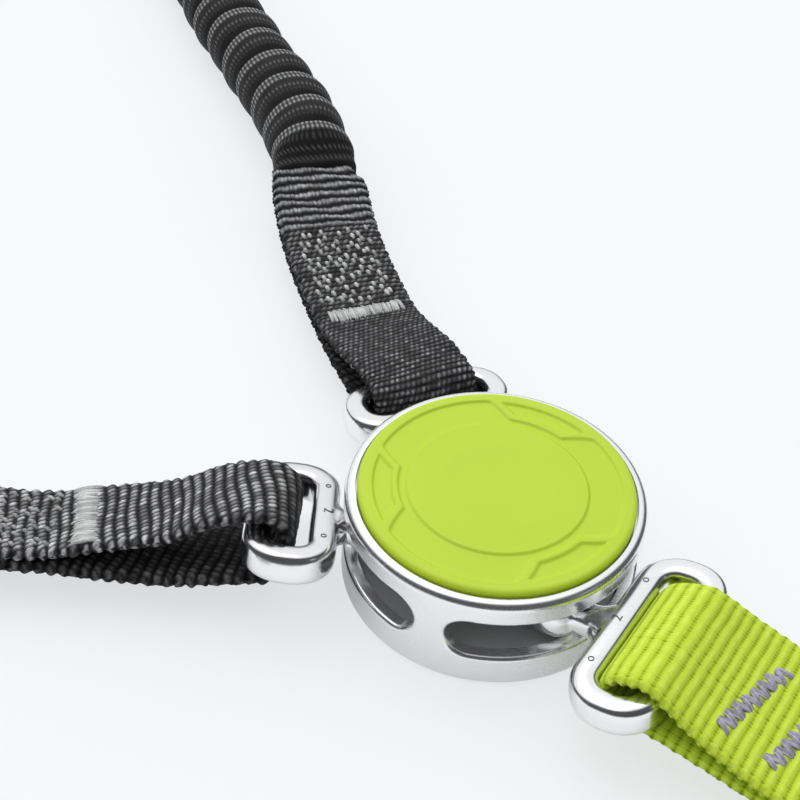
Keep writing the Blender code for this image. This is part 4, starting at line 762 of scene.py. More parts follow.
def make_fibre_group():
    """Fine yarn fibres along the webbing: a height and a brightness."""
    tree, start, end = new_group("fibres", "Thread", ("Height", "Brightness"))
    place = start.outputs["Place"]
    wave = waves(tree, calc(tree, "DIVIDE", axes(tree, place)["Y"], start.outputs["Thread"]), 1.0)
    streak = noise(tree, stretched(tree, place, (1400.0, 6500.0, 1.0)), 1.0, 4.0, 0.6)
    blotch = noise(tree, place, 420.0, 2.0)
    tree.links.new(calc(tree, "ADD", times(tree, wave, 0.3), streak), end.inputs["Height"])
    tree.links.new(mixed(tree, streak, blotch, 0.7), end.inputs["Brightness"])
    return tree


def make_metal_group():
    """Fine surface of worked metal: polish lines, handling marks and a height."""
    tree, start, end = new_group("worked metal", "Grain", ("Wear", "Height"))
    place = start.outputs["Place"]
    broad = noise(tree, place, 55.0, 3.0)
    marks = noise(tree, stretched(tree, place, (300.0, 2600.0, 900.0)), 1.0, 2.0)
    tree.links.new(mixed(tree, broad, marks, 0.6), end.inputs["Wear"])
    tree.links.new(noise(tree, place, start.outputs["Grain"], 6.0, 0.5), end.inputs["Height"])
    return tree


FIBRES = make_fibre_group()
WORKED_METAL = make_metal_group()


def start_material(name, roughness, metallic=0.0):
    """A new entry of MATERIALS: its tree and its shader."""
    material = bpy.data.materials.new(name)
    MATERIALS[name] = material
    material.use_nodes = True
    shader = material.node_tree.nodes["Principled BSDF"]
    shader.inputs["Roughness"].default_value = roughness
    shader.inputs["Metallic"].default_value = metallic
    return material.node_tree, shader


def give(tree, shader, colour, roughness, height, strength, distance):
    """Give a material its colour, its roughness and its fine relief."""
    tree.links.new(colour, shader.inputs["Base Color"])
    tree.links.new(roughness, shader.inputs["Roughness"])
    relief = add_node(tree, "Bump", "Normal", {"Strength": strength, "Distance": distance, "Height": height})
    tree.links.new(relief, shader.inputs["Normal"])


def webbing_material(name, gap, body, pale, thread, gap_reach, relief):
    """Woven yarn: body colour with fibres along it, painted shade in the gaps and a painted highlight on the
    crests, from the weave's height.
    """
    tree, shader = start_material(name, 0.78)
    crest = attribute(tree, "crest")
    tone = attribute(tree, "tone")
    fibres = place_group(tree, FIBRES, Place=surface_place(tree), Thread=thread)
    bright = fibres["Brightness"]
    # Painted shade: the weave's gaps darkened by their low height
    gap_shade = calc(tree, "POWER", remap(tree, crest, 0.22, gap_reach), 1.4)
    # Painted highlight on the crests, varied by each tuft's tone and the fibres
    light = times(tree, remap(tree, crest, 0.60, 1.0), remap(tree, tone, 0.0, 1.0, 0.06, 1.0))
    light = times(tree, light, remap(tree, bright, 0.38, 0.66, 0.10, 1.50))
    deep = tuple(0.25 * value for value in body[:3]) + (1,)
    # Dark yarn where the tone is low: random tufts, and the painted shade of the lower layer
    colour = blend_colours(tree, remap(tree, tone, 0.0, 0.25), deep, body)
    colour = blend_colours(tree, light, colour, pale)
    colour = blend_colours(tree, gap_shade, gap, colour)
    shader.inputs["Specular IOR Level"].default_value = 0.25
    give(tree, shader, colour, varied(tree, bright, 0.86, 0.66), fibres["Height"], relief, 0.00008)


def thread_material(name, dark, pale):
    """Polyester sewing thread with its ply, with painted shade at its ends where it goes into the webbing."""
    tree, shader = start_material(name, 0.6)
    streak = noise(tree, stretched(tree, surface_place(tree), (900.0, 5200.0, 1.0)), 1.0, 4.0)
    bright = mixed(tree, streak, attribute(tree, "tone"), 0.75)
    colour = blend_colours(tree, remap(tree, bright, 0.3, 0.65), dark, pale)
    # Painted shade at the thread's ends
    colour = blend_colours(tree, attribute(tree, "tip_shade"), colour, grey(0.02, 0.025))
    give(tree, shader, colour, varied(tree, streak, 0.7, 0.5), streak, 0.4, 0.00006)


def metal_material(name, low, high, rough_low, rough_high, grain, relief):
    """Worked metal whose polish varies a little."""
    tree, shader = start_material(name, rough_low, 1.0)
    worked = place_group(tree, WORKED_METAL, Place=object_place(tree), Grain=grain)
    wear = worked["Wear"]
    colour = varied(tree, wear, low, high)
    give(tree, shader, colour, varied(tree, wear, rough_low, rough_high), worked["Height"], relief, 0.00002)


def turned_material():
    """Satin turned metal: fine rings round the axis over a slight wear."""
    tree, shader = start_material("turned housing", 0.24, 1.0)
    place = object_place(tree)
    worked = place_group(tree, WORKED_METAL, Place=place, Grain=2600.0)
    split = axes(tree, place)
    squares = [times(tree, split[axis], split[axis]) for axis in "XY"]
    radius = calc(tree, "SQRT", calc(tree, "ADD", *squares))
    rings = noise(tree, add_node(tree, "CombineXYZ", "Vector", {"X": radius, "Y": split["Z"]}), 5200.0, 2.0)
    colour = varied(tree, worked["Wear"], grey(0.84, 0.85), grey(0.90, 0.91))
    height = calc(tree, "ADD", worked["Height"], times(tree, rings, 0.8))
    give(tree, shader, colour, varied(tree, worked["Wear"], 0.22, 0.30), height, 0.03, 0.00002)


def plastic_material(name, low, high, rough_low, rough_high, relief):
    """Moulded plastic with a fine matt grain and slight flow marks."""
    tree, shader = start_material(name, rough_low)
    place = object_place(tree)
    grain = noise(tree, place, 3800.0, 2.0)
    colour = varied(tree, noise(tree, place, 60.0, 3.0), low, high)
    give(tree, shader, colour, varied(tree, grain, rough_low, rough_high), grain, relief, 0.00003)


def elastic_material():
    """Pleated sleeve: dark yarn, a pale double band on each pleat, rows of small stitches, and painted shade in
    the folds between pleats.
    """
    tree, shader = start_material("pleated sleeve", 0.8)
    place = surface_place(tree)
    fibres = place_group(tree, FIBRES, Place=place, Thread=0.0005)
    bright = fibres["Brightness"]
    dots = remap(tree, waves(tree, axes(tree, place)["Y"], 0.00095), -0.6, 0.9)
    dark = varied(tree, bright, grey(0.004, 0.0045), grey(0.010, 0.011))
    dotted = times(tree, dots, varied(tree, bright, 0.6, 1.2))
    pale = blend_colours(tree, dotted, grey(0.050, 0.051), grey(0.40, 0.403))
    colour = blend_colours(tree, attribute(tree, "band"), dark, pale)
    speck = times(tree, times(tree, attribute(tree, "row"), dots), 0.60)
    colour = blend_colours(tree, speck, colour, grey(0.22, 0.222))
    # Painted shade: near black in the folds between pleats
    colour = blend_colours(tree, attribute(tree, "fold"), colour, grey(0.004, 0.004))
    height = calc(tree, "ADD", times(tree, dots, 0.8), fibres["Height"])
    give(tree, shader, colour, varied(tree, bright, 0.85, 0.68), height, 0.6, 0.0001)


def fabric_material():
    """Dense plain-woven pouch fabric."""
    tree, shader = start_material("pouch fabric", 0.85)
    place = surface_place(tree)
    split = axes(tree, place)
    cross = times(tree, waves(tree, split["X"], 0.0009), waves(tree, split["Y"], 0.0009))
    fibres = place_group(tree, FIBRES, Place=place, Thread=0.0003)
    light = times(tree, remap(tree, cross, -0.8, 1.0), fibres["Brightness"])
    colour = blend_colours(tree, light, grey(0.010, 0.011), (0.052, 0.053, 0.056, 1))
    height = calc(tree, "ADD", cross, fibres["Height"])
    give(tree, shader, colour, varied(tree, fibres["Brightness"], 0.9, 0.74), height, 0.6, 0.00012)


# Metals: colours of low and high wear, their roughnesses, grain and relief
metal_material("polished forging", grey(0.80, 0.81), grey(0.88, 0.89), 0.15, 0.22, 1500.0, 0.04)
metal_material("satin aluminium", grey(0.74, 0.75), grey(0.85, 0.86), 0.20, 0.30, 2600.0, 0.18)
metal_material("gate metal", (0.56, 0.57, 0.59, 1), (0.68, 0.69, 0.71, 1), 0.20, 0.30, 1500.0, 0.12)
metal_material("steel", grey(0.48, 0.49), grey(0.60, 0.61), 0.22, 0.34, 1500.0, 0.12)
metal_material("stamped mark", grey(0.16, 0.17), grey(0.24, 0.25), 0.35, 0.5, 1500.0, 0.1)
turned_material()

# Webbings: painted gap shade, body and painted crest highlight colours, thread width, how far up the gaps'
# painted shade reaches, relief
webbing_material(
    "dark webbing", grey(0.004, 0.005), grey(0.115, 0.117), grey(0.86, 0.865), 0.0004, 0.80, 0.5,
)
webbing_material(
    "fine dark webbing", grey(0.006, 0.007), grey(0.092, 0.094), grey(0.66, 0.665), 0.0004, 0.72, 0.5,
)
webbing_material(
    "lime webbing", (0.26, 0.34, 0.010, 1), (0.56, 0.73, 0.038, 1), (0.78, 0.94, 0.150, 1), LIME_THREAD,
    0.47, 0.35,
)

# Threads: dark and pale colours; plastics: colours, roughnesses and relief
thread_material("pale thread", grey(0.24, 0.24), grey(0.74, 0.73))
thread_material("mid thread", grey(0.12, 0.12), grey(0.46, 0.46))
thread_material("grey thread", (0.20, 0.19, 0.24, 1), (0.58, 0.55, 0.66, 1))
plastic_material("pad", (0.52, 0.69, 0.020, 1), (0.54, 0.71, 0.026, 1), 0.42, 0.55, 0.12)
plastic_material("acetal", grey(0.42, 0.425), grey(0.48, 0.485), 0.40, 0.50, 0.1)
plastic_material("lever plastic", (0.40, 0.58, 0.04, 1), (0.45, 0.64, 0.05, 1), 0.35, 0.5, 0.3)
plastic_material("rubber", grey(0.012, 0.012), grey(0.022, 0.022), 0.55, 0.75, 0.4)
elastic_material()
fabric_material()

CAD_FINISHES = {
    "satin_aluminium": "satin aluminium",
    "forged_aluminium": "polished forging",
    "gate_aluminium": "gate metal",
    "steel": "steel",
    "lime_pad": "pad",
    "acetal": "acetal",
    "rubber": "rubber",
    "lever_plastic": "lever plastic",
}
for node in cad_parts.values():
    finish = CAD_FINISHES.get(node.material_slots[0].material.name.split(".")[0])
    if finish:
        node.material_slots[0].material = MATERIALS[finish]


# Hub

def shade_by_angle(obj, degrees):
    """Smooth shading, with edges sharper than an angle left crisp."""
    only(obj)
    bpy.ops.object.shade_smooth_by_angle(angle=math.radians(degrees))


def only(obj):
    """Select one object alone and make it active."""
    for other in bpy.context.selected_objects:
        other.select_set(False)
    obj.select_set(True)
    bpy.context.view_layer.objects.active = obj


def apply_modifiers(obj):
    only(obj)
    for modifier in list(obj.modifiers):
        bpy.ops.object.modifier_apply(modifier=modifier.name)


def turned_object(name, radii, heights):
    """A closed body of rings round the hub's axis, from the rings' radii and their points' heights."""
    angles = 2 * math.pi * np.arange(heights.shape[1]) / heights.shape[1]
    rings = [radii[:, None] * np.cos(angles), radii[:, None] * np.sin(angles), heights]
    turned = new_object(name, np.stack(rings, axis=-1), tube_faces(*heights.shape))
    weld_and_face_out(turned)
    return turned


def slot_cutter(azimuth):
    """A round-ended slot wrapped round the wall, flared where it meets the outside."""
    middle_radius = HUB_RADIUS - HUB_WALL / 2
    layers = [(DRUM_RADIUS, 0.0), (HUB_RADIUS - SLOT_EDGE_ROUND, 0.0)]
    for step in range(1, SLOT_FLARE_STEPS + 1):
        angle = math.pi / 2 * step / SLOT_FLARE_STEPS
        depth = SLOT_EDGE_ROUND * (1 - math.sin(angle))
        layers.append((HUB_RADIUS - depth, SLOT_EDGE_ROUND * (1 - math.cos(angle))))
    layers.append((HUB_RADIUS + CUT_OVERRUN, SLOT_EDGE_ROUND + CUT_OVERRUN))
    outline = []
    for end in (-1, 1):
        for step in range(SLOT_END_STEPS + 1):
            outline.append((end, math.pi * step / SLOT_END_STEPS - end * math.pi / 2))
        for step in range(1, SLOT_SIDE_STEPS):
            outline.append((end - end * 2 * step / SLOT_SIDE_STEPS, end * math.pi / 2))
    vertices = []
    for radius, growth in layers:
        half = SLOT_HEIGHT / 2 + growth
        for place, lean in outline:
            reach = half * math.cos(lean)
            spot = polar(radius, azimuth + place * SLOT_TRAVEL_HALF_ANGLE + reach / middle_radius)
            vertices.append((spot.x, spot.y, SLOT_MIDDLE_HEIGHT + half * math.sin(lean)))
    count = len(outline)
    faces = ring_faces(len(layers), count).tolist() + flat_caps(len(layers), count, SLOT_END_STEPS // 2)
    cutter = new_object("slot", np.array(vertices), faces)
    weld_and_face_out(cutter)
    return cutter


def arc_points(centre, radius, start, end, steps):
    """Points of an arc in a profile, ends included."""
    angles = [start + (end - start) * step / steps for step in range(steps + 1)]
    return [(centre[0] + radius * math.cos(a), centre[1] + radius * math.sin(a)) for a in angles]


def steady_wall(cup):
    """Corner normals straight out of the turned wall, left as they are elsewhere."""
    mesh = cup.data
    corners = len(mesh.loops)
    normals = np.empty(corners * 3)
    mesh.corner_normals.foreach_get("vector", normals)
    normals = normals.reshape(-1, 3)
    vertex = np.empty(corners, dtype=np.int32)
    mesh.loops.foreach_get("vertex_index", vertex)
    places = np.empty(len(mesh.vertices) * 3)
    mesh.vertices.foreach_get("co", places)
    places = places.reshape(-1, 3)[vertex]
    outward = unit(places * np.array([1.0, 1.0, 0.0]))
    for polygon in mesh.polygons:
        part = slice(polygon.loop_start, polygon.loop_start + polygon.loop_total)
        radii = np.hypot(places[part, 0], places[part, 1])
        on_wall = np.all(np.abs(radii - HUB_RADIUS) < WALL_TOLERANCE)
        if on_wall and abs(polygon.normal.z) < LEVEL_TOLERANCE:
            normals[part] = outward[part]
    mesh.normals_split_custom_set(normals.tolist())


def make_housing():
    """Turned cup with its three slots and rounded lip."""
    bore = PAD_RADIUS + FIT_GAP
    wall_bore = HUB_RADIUS - HUB_WALL
    base = (HUB_RADIUS - HUB_BASE_ROUND, HUB_BASE_ROUND)
    lip = (HUB_RADIUS - HUB_LIP_ROUND, HUB_HEIGHT - HUB_LIP_ROUND)
    profile = [(AXIS_RING, 0.0)] + arc_points(base, HUB_BASE_ROUND, -math.pi / 2, 0.0, 8)
    profile += arc_points(lip, HUB_LIP_ROUND, 0.0, math.pi / 2, 10)
    profile += [(bore, HUB_HEIGHT), (bore, COVER_TOP), (wall_bore, COVER_TOP), (wall_bore, HUB_FLOOR)]
    profile += [(BOSS_RADIUS, HUB_FLOOR), (BOSS_RADIUS, BOSS_TOP), (BOLT_BORE_RADIUS, BOSS_TOP)]
    profile += [(BOLT_BORE_RADIUS, HUB_FLOOR / 2), (AXIS_RING, HUB_FLOOR / 2)]
    radii, heights = np.array(profile).T
    cup = turned_object("turned_housing", radii, np.repeat(heights[:, None], HUB_FACETS, axis=1))
    for azimuth in SLOT_AZIMUTHS:
        cutter = slot_cutter(azimuth)
        cut = cup.modifiers.new("slot", "BOOLEAN")
        cut.operation = "DIFFERENCE"
        cut.solver = "EXACT"
        cut.object = cutter
        apply_modifiers(cup)
        bpy.data.objects.remove(cutter, do_unlink=True)
    shade_by_angle(cup, 32.0)
    steady_wall(cup)
    cup.data.materials.append(MATERIALS["turned housing"])
    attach(cup, "hub")
    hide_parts("housing_cup")


def lens_mask(radius, turn, inner, outer, flat_half, half, ease):
    """1 inside a lens along the pad's edge, 0 outside, with eased walls."""
    across = np.clip((radius - inner) / (outer - inner), 0, 1)
    reach = (flat_half + (half - flat_half) * across - np.abs(turn)) * radius
    return eased(radius, inner, ease) * (1 - eased(radius, outer, ease)) * eased(reach, 0.0, ease)


def make_pad():
    """Moulded pad: raised rim, three lens-shaped lands with pockets, a dished middle."""
    ease = PAD_STEP * 2.4
    inner = PAD_RING_RADIUS - PAD_LAND_WIDTH
    steps = np.linspace(2 * AXIS_RING, PAD_RADIUS - PAD_EDGE_ROUND, PAD_ROWS)
    walls = [edge + np.linspace(-1, 1, 9) * ease for edge in (PAD_RING_RADIUS, PAD_MIDDLE_RADIUS, inner)]
    radii = np.unique(np.concatenate([steps] + walls))
    r, a = np.meshgrid(radii, 2 * math.pi * np.arange(PAD_COLUMNS) / PAD_COLUMNS, indexing="ij")
    top = PAD_HEIGHT + PAD_CROWN * (1 - np.clip(r / PAD_RADIUS, 0, 1) ** 2)
    height = top - PAD_STEP * 1.5 * (1 - eased(r, PAD_RING_RADIUS, ease))
    height += PAD_STEP * 1.3 * (1 - eased(r, PAD_MIDDLE_RADIUS, ease))
    height -= PAD_STEP * 0.8 * (1 - np.clip(r / PAD_DISH_RADIUS, 0, 1) ** 2)
    margin = PAD_POCKET_MARGIN / PAD_RING_RADIUS
    for azimuth in SLOT_AZIMUTHS:
        turn = np.mod(a - azimuth + math.pi, 2 * math.pi) - math.pi
        land = lens_mask(
            r, turn, inner, PAD_RING_RADIUS + PAD_STEP, PAD_LAND_FLAT_HALF_ANGLE, PAD_LAND_HALF_ANGLE, ease,
        )
        pocket = lens_mask(
            r, turn, inner + PAD_POCKET_MARGIN, PAD_RING_RADIUS - PAD_STEP,
            PAD_LAND_FLAT_HALF_ANGLE - margin, PAD_LAND_HALF_ANGLE - 2 * margin, ease,
        )
        height = height * (1 - land) + top * land - PAD_POCKET_DEPTH * pocket
    corner = (PAD_RADIUS - PAD_EDGE_ROUND, PAD_HEIGHT - PAD_EDGE_ROUND)
    edge = arc_points(corner, PAD_EDGE_ROUND, math.pi / 2, 0, 8)[1:]
    rest = np.array(edge + [(PAD_RADIUS, PAD_UNDERSIDE), (2 * AXIS_RING, PAD_UNDERSIDE)])
    heights = np.concatenate([height, np.repeat(rest[:, 1, None], PAD_COLUMNS, axis=1)])
    pad = turned_object("moulded_pad", np.concatenate([radii, rest[:, 0]]), heights)
    shade_by_angle(pad, 50.0)
    pad.data.materials.append(MATERIALS["pad"])
    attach(pad, "hub")
    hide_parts("top_pad")


make_housing()
make_pad()


# Links

def squared(angles, power):
    """Cosines and sines pulled towards a square; a power of 1 leaves them round."""
    return [np.sign(wave) * np.abs(wave) ** power for wave in (np.cos(angles), np.sin(angles))]


def swept_rings(centres, across, half_width, half_height, squareness):
    """Rounded rectangular sections along a level line, across it and upwards."""
    x, y = squared(2 * math.pi * (np.arange(LINK_SIDES) + 0.5) / LINK_SIDES, 2 / squareness)
    return sections(centres, across, x * half_width[:, None], np.array(UP), y * half_height[:, None])


def link_line(window_length, neck):
    """Rounded rectangle along the middle of the link's bar, in the link's own plane."""
    near = neck + LINK_BAR / 2
    far = neck + LINK_BAR * 1.5 + LINK_WINDOW_DEPTH
    half = (window_length + LINK_BAR) / 2
    radius = LINK_CORNER_RADIUS
    corners = [
        ((far - radius, half - radius), 0.0),
        ((near + radius, half - radius), math.pi / 2),
        ((near + radius, radius - half), math.pi),
        ((far - radius, radius - half), 1.5 * math.pi),
    ]
    points = []
    for (x, y), start in corners:
        for step in range(LINK_CORNER_STEPS + 1):
            angle = start + math.pi / 2 * step / LINK_CORNER_STEPS
            points.append((x + radius * math.cos(angle), y + radius * math.sin(angle), 0.0))
    return np.array(points)


def mark_link(name, place, neck, window_length, body):
    """A size digit between two small rings, stamped in the near bar's flat top."""
    top = LINK_THICKNESS / 2 + MARK_LIFT
    for index, side in enumerate((-1, 1)):
        spot = (neck + LINK_BAR / 2, side * window_length * MARK_RING_SHARE, top)
        bpy.ops.mesh.primitive_torus_add(
            major_segments=32, minor_segments=8, major_radius=MARK_RING_RADIUS, minor_radius=MARK_LINE / 2,
            location=spot,
        )
        ring = bpy.context.active_object
        ring.name = f"{name}_ring_{index}"
        finish_mark(ring, place, body)
    bpy.ops.object.text_add(location=(0.0, 0.0, 0.0))
    digit = bpy.context.active_object
    digit.data.body = "2"
    digit.data.size = MARK_DIGIT_SIZE
    digit.data.align_x = "CENTER"
    digit.data.align_y = "CENTER"
    digit.data.extrude = MARK_LINE / 4
    bpy.ops.object.convert(target="MESH")
    digit = bpy.context.active_object
    digit.name = name + "_digit"
    spot = Matrix.Translation((neck + LINK_BAR * 0.42, 0.0, top)) @ Matrix.Rotation(math.pi / 2, 4, "Z")
    digit.data.transform(spot)
    finish_mark(digit, place, body)


def finish_mark(mark, place, body):
    """Move a mark from the link's own frame to its place and give it its look."""
    only(mark)
    bpy.ops.object.transform_apply(location=True, rotation=True, scale=True)
    mark.data.transform(place)
    mark.data.materials.clear()
    mark.data.materials.append(MATERIALS["stamped mark"])
    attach(mark, body)


def forged_link(name, window_length, foot_azimuth, link_azimuth, pitch, roll, body):
    """Frame, flared neck and ball foot blended into one forging."""
    neck = neck_length(foot_azimuth, link_azimuth, pitch)
    line = link_line(window_length, neck)
    closed = np.concatenate([line[-1:], line, line[:1]])
    across = np.cross(unit(closed[2:] - closed[:-2]), np.array(UP))
    full = np.ones(len(line))
    rings = swept_rings(line, across, full * LINK_BAR / 2, full * LINK_THICKNESS / 2, 3.4)
    link = new_object(name, rings, ring_faces(len(line), LINK_SIDES, True).tolist())
    reach, half_width, half_height = NECK_STATIONS.T * [[neck], [NECK_RADIUS], [NECK_RADIUS]]
    reach[-1] = neck + LINK_BAR * NECK_END_SHARE
    middle = np.stack([reach, reach * 0, reach * 0], axis=1)
    sideways = np.tile([0.0, 1.0, 0.0], (len(reach), 1))
    rings = swept_rings(middle, sideways, half_width, half_height, 2.4)
    stem = new_object(name + "_stem", rings, tube_faces(len(reach), LINK_SIDES))
    bpy.ops.mesh.primitive_uv_sphere_add(segments=48, ring_count=24, radius=BALL_RADIUS, location=(0, 0, 0))
    ball = bpy.context.active_object
    only(link)
    stem.select_set(True)
    ball.select_set(True)
    bpy.ops.object.join()
    weld_and_face_out(link)
    remesh = link.modifiers.new("forge", "REMESH")
    remesh.mode = "VOXEL"
    remesh.voxel_size = FORGED_GRAIN
    soften = link.modifiers.new("soften", "CORRECTIVE_SMOOTH")
    soften.iterations = 6
    soften.use_only_smooth = True
    apply_modifiers(link)
    foot = polar(BALL_TRACK_RADIUS, foot_azimuth)
    foot.z = SLOT_MIDDLE_HEIGHT
    turn = Matrix.Rotation(link_azimuth, 4, "Z") @ Matrix.Rotation(-pitch, 4, "Y")
    place = Matrix.Translation(foot) @ turn @ Matrix.Rotation(roll, 4, "X")
    link.data.transform(place)
    link.data.shade_smooth()
    link.data.materials.clear()
    link.data.materials.append(MATERIALS["polished forging"])
    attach(link, body)
    mark_link(name, place, neck, window_length, body)
    return link


# Elastics

def doubled_ends(rows):
    """Rows with the first and the last one given twice."""
    return np.concatenate([rows[:1], rows, rows[-1:]])


def pleated_elastic(name, plan_points, start, body):
    """Pleated sleeve round its rubber core: bell-shaped pleats stacked along the route."""
    plan = np.array(plan_points)
    settled = np.minimum(running_length(plan) / ELASTIC_SETTLE_LENGTH, 1.0)
    height = ELASTIC_START_HEIGHT + (ELASTIC_AXIS_HEIGHT - ELASTIC_START_HEIGHT) * settled
    route = np.stack([start.x + plan[:, 0], start.y + plan[:, 1], height], axis=1)
    line = np.array([tuple(p) for p in smooth_curve(route, ELASTIC_SAMPLES)])
    lengths = running_length(line)
    total = lengths[-1]
    along = np.linspace(0.0, total, int(total / ELASTIC_STEP) + 1)
    middle = pick(line, lengths, along)
    heading = directions(middle)
    beside = unit(np.cross(np.array(UP), heading))
    bend = np.sum(np.gradient(heading, along, axis=0) * beside, axis=1)
    window = np.ones(2 * BEND_REACH + 1) / (2 * BEND_REACH + 1)
    bend = np.convolve(np.pad(bend, BEND_REACH, mode="edge"), window, mode="valid")

    # Place within each pleat: phase 1 towards the hub, 0 away from it
    straight = 2 * ELASTIC_RADIUS
    ribs = int((total - 2 * straight) / ELASTIC_PITCH)
    hem = CUFF_LENGTH * 0.30
    place = END_PLEAT_SHARE + ramp(along, hem, total - hem) * (ribs + 1)
    index = np.floor(place)
    phase = 1 - (place - index)
    rise = ramp(phase, 0.0, 0.10) ** 0.5
    belly = np.sin(ramp(phase, -0.30, 1.06) * math.pi) ** 0.8
    bell = ((0.25 * rise + 0.75 * belly * rise) * ramp(phase, 1.0, 0.80) ** 0.6)[:, None]

    # Sections: pleats open on the outer side of a bend, ends flattened onto the webbing
    angles = 2 * math.pi * np.arange(ELASTIC_COLUMNS) / ELASTIC_COLUMNS
    outer_side = -np.cos(angles) * np.tanh(bend[:, None] * BEND_GAIN)
    scallop = np.clip(0.62 + 0.50 * outer_side, 0.10, 1.15)
    depth = (ELASTIC_RADIUS - ELASTIC_FOLD_RADIUS + PLEAT_EXTRA_DEPTH) * scallop
    wobble = PLEAT_WOBBLE * np.sin(angles * 3 + index[:, None] * 2.4)
    radius = ELASTIC_RADIUS + PLEAT_SWELL + PLEAT_BEND_SWELL * np.clip(outer_side, 0, 1)
    radius = radius - depth * (1 - bell) + wobble * bell
    from_end = np.minimum(along, total - along)
    flat = 1 - eased(from_end, CUFF_LENGTH * 0.5, CUFF_LENGTH)[:, None]
    ripple = 1 + 0.10 * (bell - 0.5) * (1 - flat)
    x_half = radius * (1 - flat) + CUFF_HALF_WIDTH * ripple * flat
    z_half = radius * (1 - flat) + CUFF_HALF_HEIGHT * (0.86 + 0.22 * bell) * flat
    x, z = squared(angles, 2 / (2 + CUFF_SQUARENESS * flat))
    vertices = doubled_ends(sections(middle, beside, x * x_half, np.array(UP), z * z_half))
    vertices[0] -= heading[0] * CUFF_OVERLAP
    vertices[-1] += heading[-1] * CUFF_OVERLAP
    distance = doubled_ends(along)
    distance[0] -= CUFF_OVERLAP
    distance[-1] += CUFF_OVERLAP
    phase = doubled_ends(phase)
    from_end = doubled_ends(from_end)
    flat = doubled_ends(flat)

    # Thread bands, rows of stitches, painted shade in the folds between pleats, and the weave's map
    band = ramp(phase, 0.06, 0.10) * ramp(phase, 0.40, 0.35)
    band *= 0.60 + 0.40 * np.cos(2 * math.pi * (phase - 0.15) / 0.17)
    row = np.exp(-((phase - 0.62) / 0.040) ** 2) + 0.25 * np.exp(-((phase - 0.76) / 0.03) ** 2)
    row = np.where(from_end < END_STITCH_REACH, 0.0, row)
    for stitch_row in END_STITCH_ROWS:
        row = row + 0.8 * np.exp(-((from_end - stitch_row) / END_STITCH_HALF_WIDTH) ** 2)
    # Painted shade in the folds between pleats, faded out near the sleeve's ends
    fold = (ramp(phase, 0.04, 0.0) + ramp(phase, 0.82, 0.92)) * ramp(from_end, *END_FOLD_SHADE_SPAN)
    rows, columns = vertices.shape[:2]
    marks = {
        "band": np.repeat(band, columns),
        "row": np.repeat(row, columns),
        "fold": np.repeat(np.clip(fold, 0, 1), columns),
    }
    steps = np.linalg.norm(np.diff(vertices, axis=1), axis=2)
    measured = np.concatenate([np.zeros((rows, 1)), np.cumsum(steps, axis=1)], axis=1)
    around = angles * ELASTIC_RADIUS * (1 - flat) + measured * flat
    uvs = np.stack([np.repeat(distance[:, None], columns, axis=1), around], axis=-1)
    elastic = dressed_piece(name, vertices, tube_faces(rows, columns), "pleated sleeve", body, uvs, marks)
    before = Vector(middle[int(len(middle) * (1 - straight / total))])
    end = Vector(middle[-1])
    return elastic, total, end, (end - before).normalized(), [tuple(p) for p in middle[::CORD_POINT_EVERY]]


rear_start, rear_bar_height, rear_outward, rear_side = link_bar_frame(
    REAR_FOOT_AZIMUTH, REAR_LINK_AZIMUTH, REAR_LINK_PITCH,
)
left_start, left_bar_height, left_outward, left_side = link_bar_frame(
    LEFT_FOOT_AZIMUTH, LEFT_LINK_AZIMUTH, LEFT_LINK_PITCH,
)
tail_start, tail_bar_height, tail_outward, tail_side = link_bar_frame(
    TAIL_FOOT_AZIMUTH, TAIL_LINK_AZIMUTH, TAIL_LINK_PITCH,
)

rear_plan = [rear_start + rear_outward * u + rear_side * v for u, v in REAR_STRAP_PLAN]
rear_plan_line = np.array([tuple(p) for p in smooth_curve(rear_plan, PLAN_SAMPLES)])
rear_plan_lengths = running_length(rear_plan_line)
rear_bar_distance = rear_plan_lengths[PLAN_SAMPLES]
rear_end_distance = np.array([rear_bar_distance + REAR_STRAP_LENGTH + STRAP_END_GAP])
rear_elastic_start = Vector(pick(rear_plan_line, rear_plan_lengths, rear_end_distance)[0])
left_elastic_start = left_start + left_outward * (LEFT_STRAP_LENGTH + STRAP_END_GAP)

rear_elastic, rear_length, rear_end, rear_heading, rear_path = pleated_elastic(
    "rear_pleated_elastic", REAR_ELASTIC_PLAN, rear_elastic_start, "rear_arm",
)
left_elastic, left_length, left_end, left_heading, left_path = pleated_elastic(
    "left_pleated_elastic", LEFT_ELASTIC_PLAN, left_elastic_start, "left_arm",
)
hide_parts("rear_elastic")
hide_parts("left_elastic")


# Straps

def rear_strap_line():
    """Route and sides of the rear strap, which bends a little in plan."""
    route = folded_side(
        LINK_SECTION, rear_bar_height, REAR_LINK_PITCH, REAR_FOLD_SLACK, REAR_STRAP_LENGTH,
        (REAR_STRAP_REST_HEIGHT, STRAP_END_HEIGHT), REAR_UPPER_SHARES, REAR_LOWER_SHARES,
    )
    distance = rear_bar_distance + np.array([p.x for p in route])
    spots = pick(rear_plan_line, rear_plan_lengths, distance)
    heading = unit(pick(directions(rear_plan_line), rear_plan_lengths, distance))
    spots[:, 2] = [p.y for p in route]
    return spots, np.cross(np.array(UP), heading)


def straight_strap_line(route, start, outward, length, rolls=(0.0, 0.0), axis_heights=(0.0, 0.0)):
    """Route and sides of a strap, straight in plan, whose roll and its axis change to the outer end."""
    points = []
    sides = []
    for p in route:
        share = min(max(p.x / length, 0.0), 1.0)
        lift = Matrix.Rotation(rolls[0] + (rolls[1] - rolls[0]) * share, 3, outward)
        axis_height = axis_heights[0] + (axis_heights[1] - axis_heights[0]) * share
        points.append(start + outward * p.x + UP * axis_height + lift @ (UP * (p.y - axis_height)))
        sides.append(lift @ UP.cross(outward))
    return points, sides


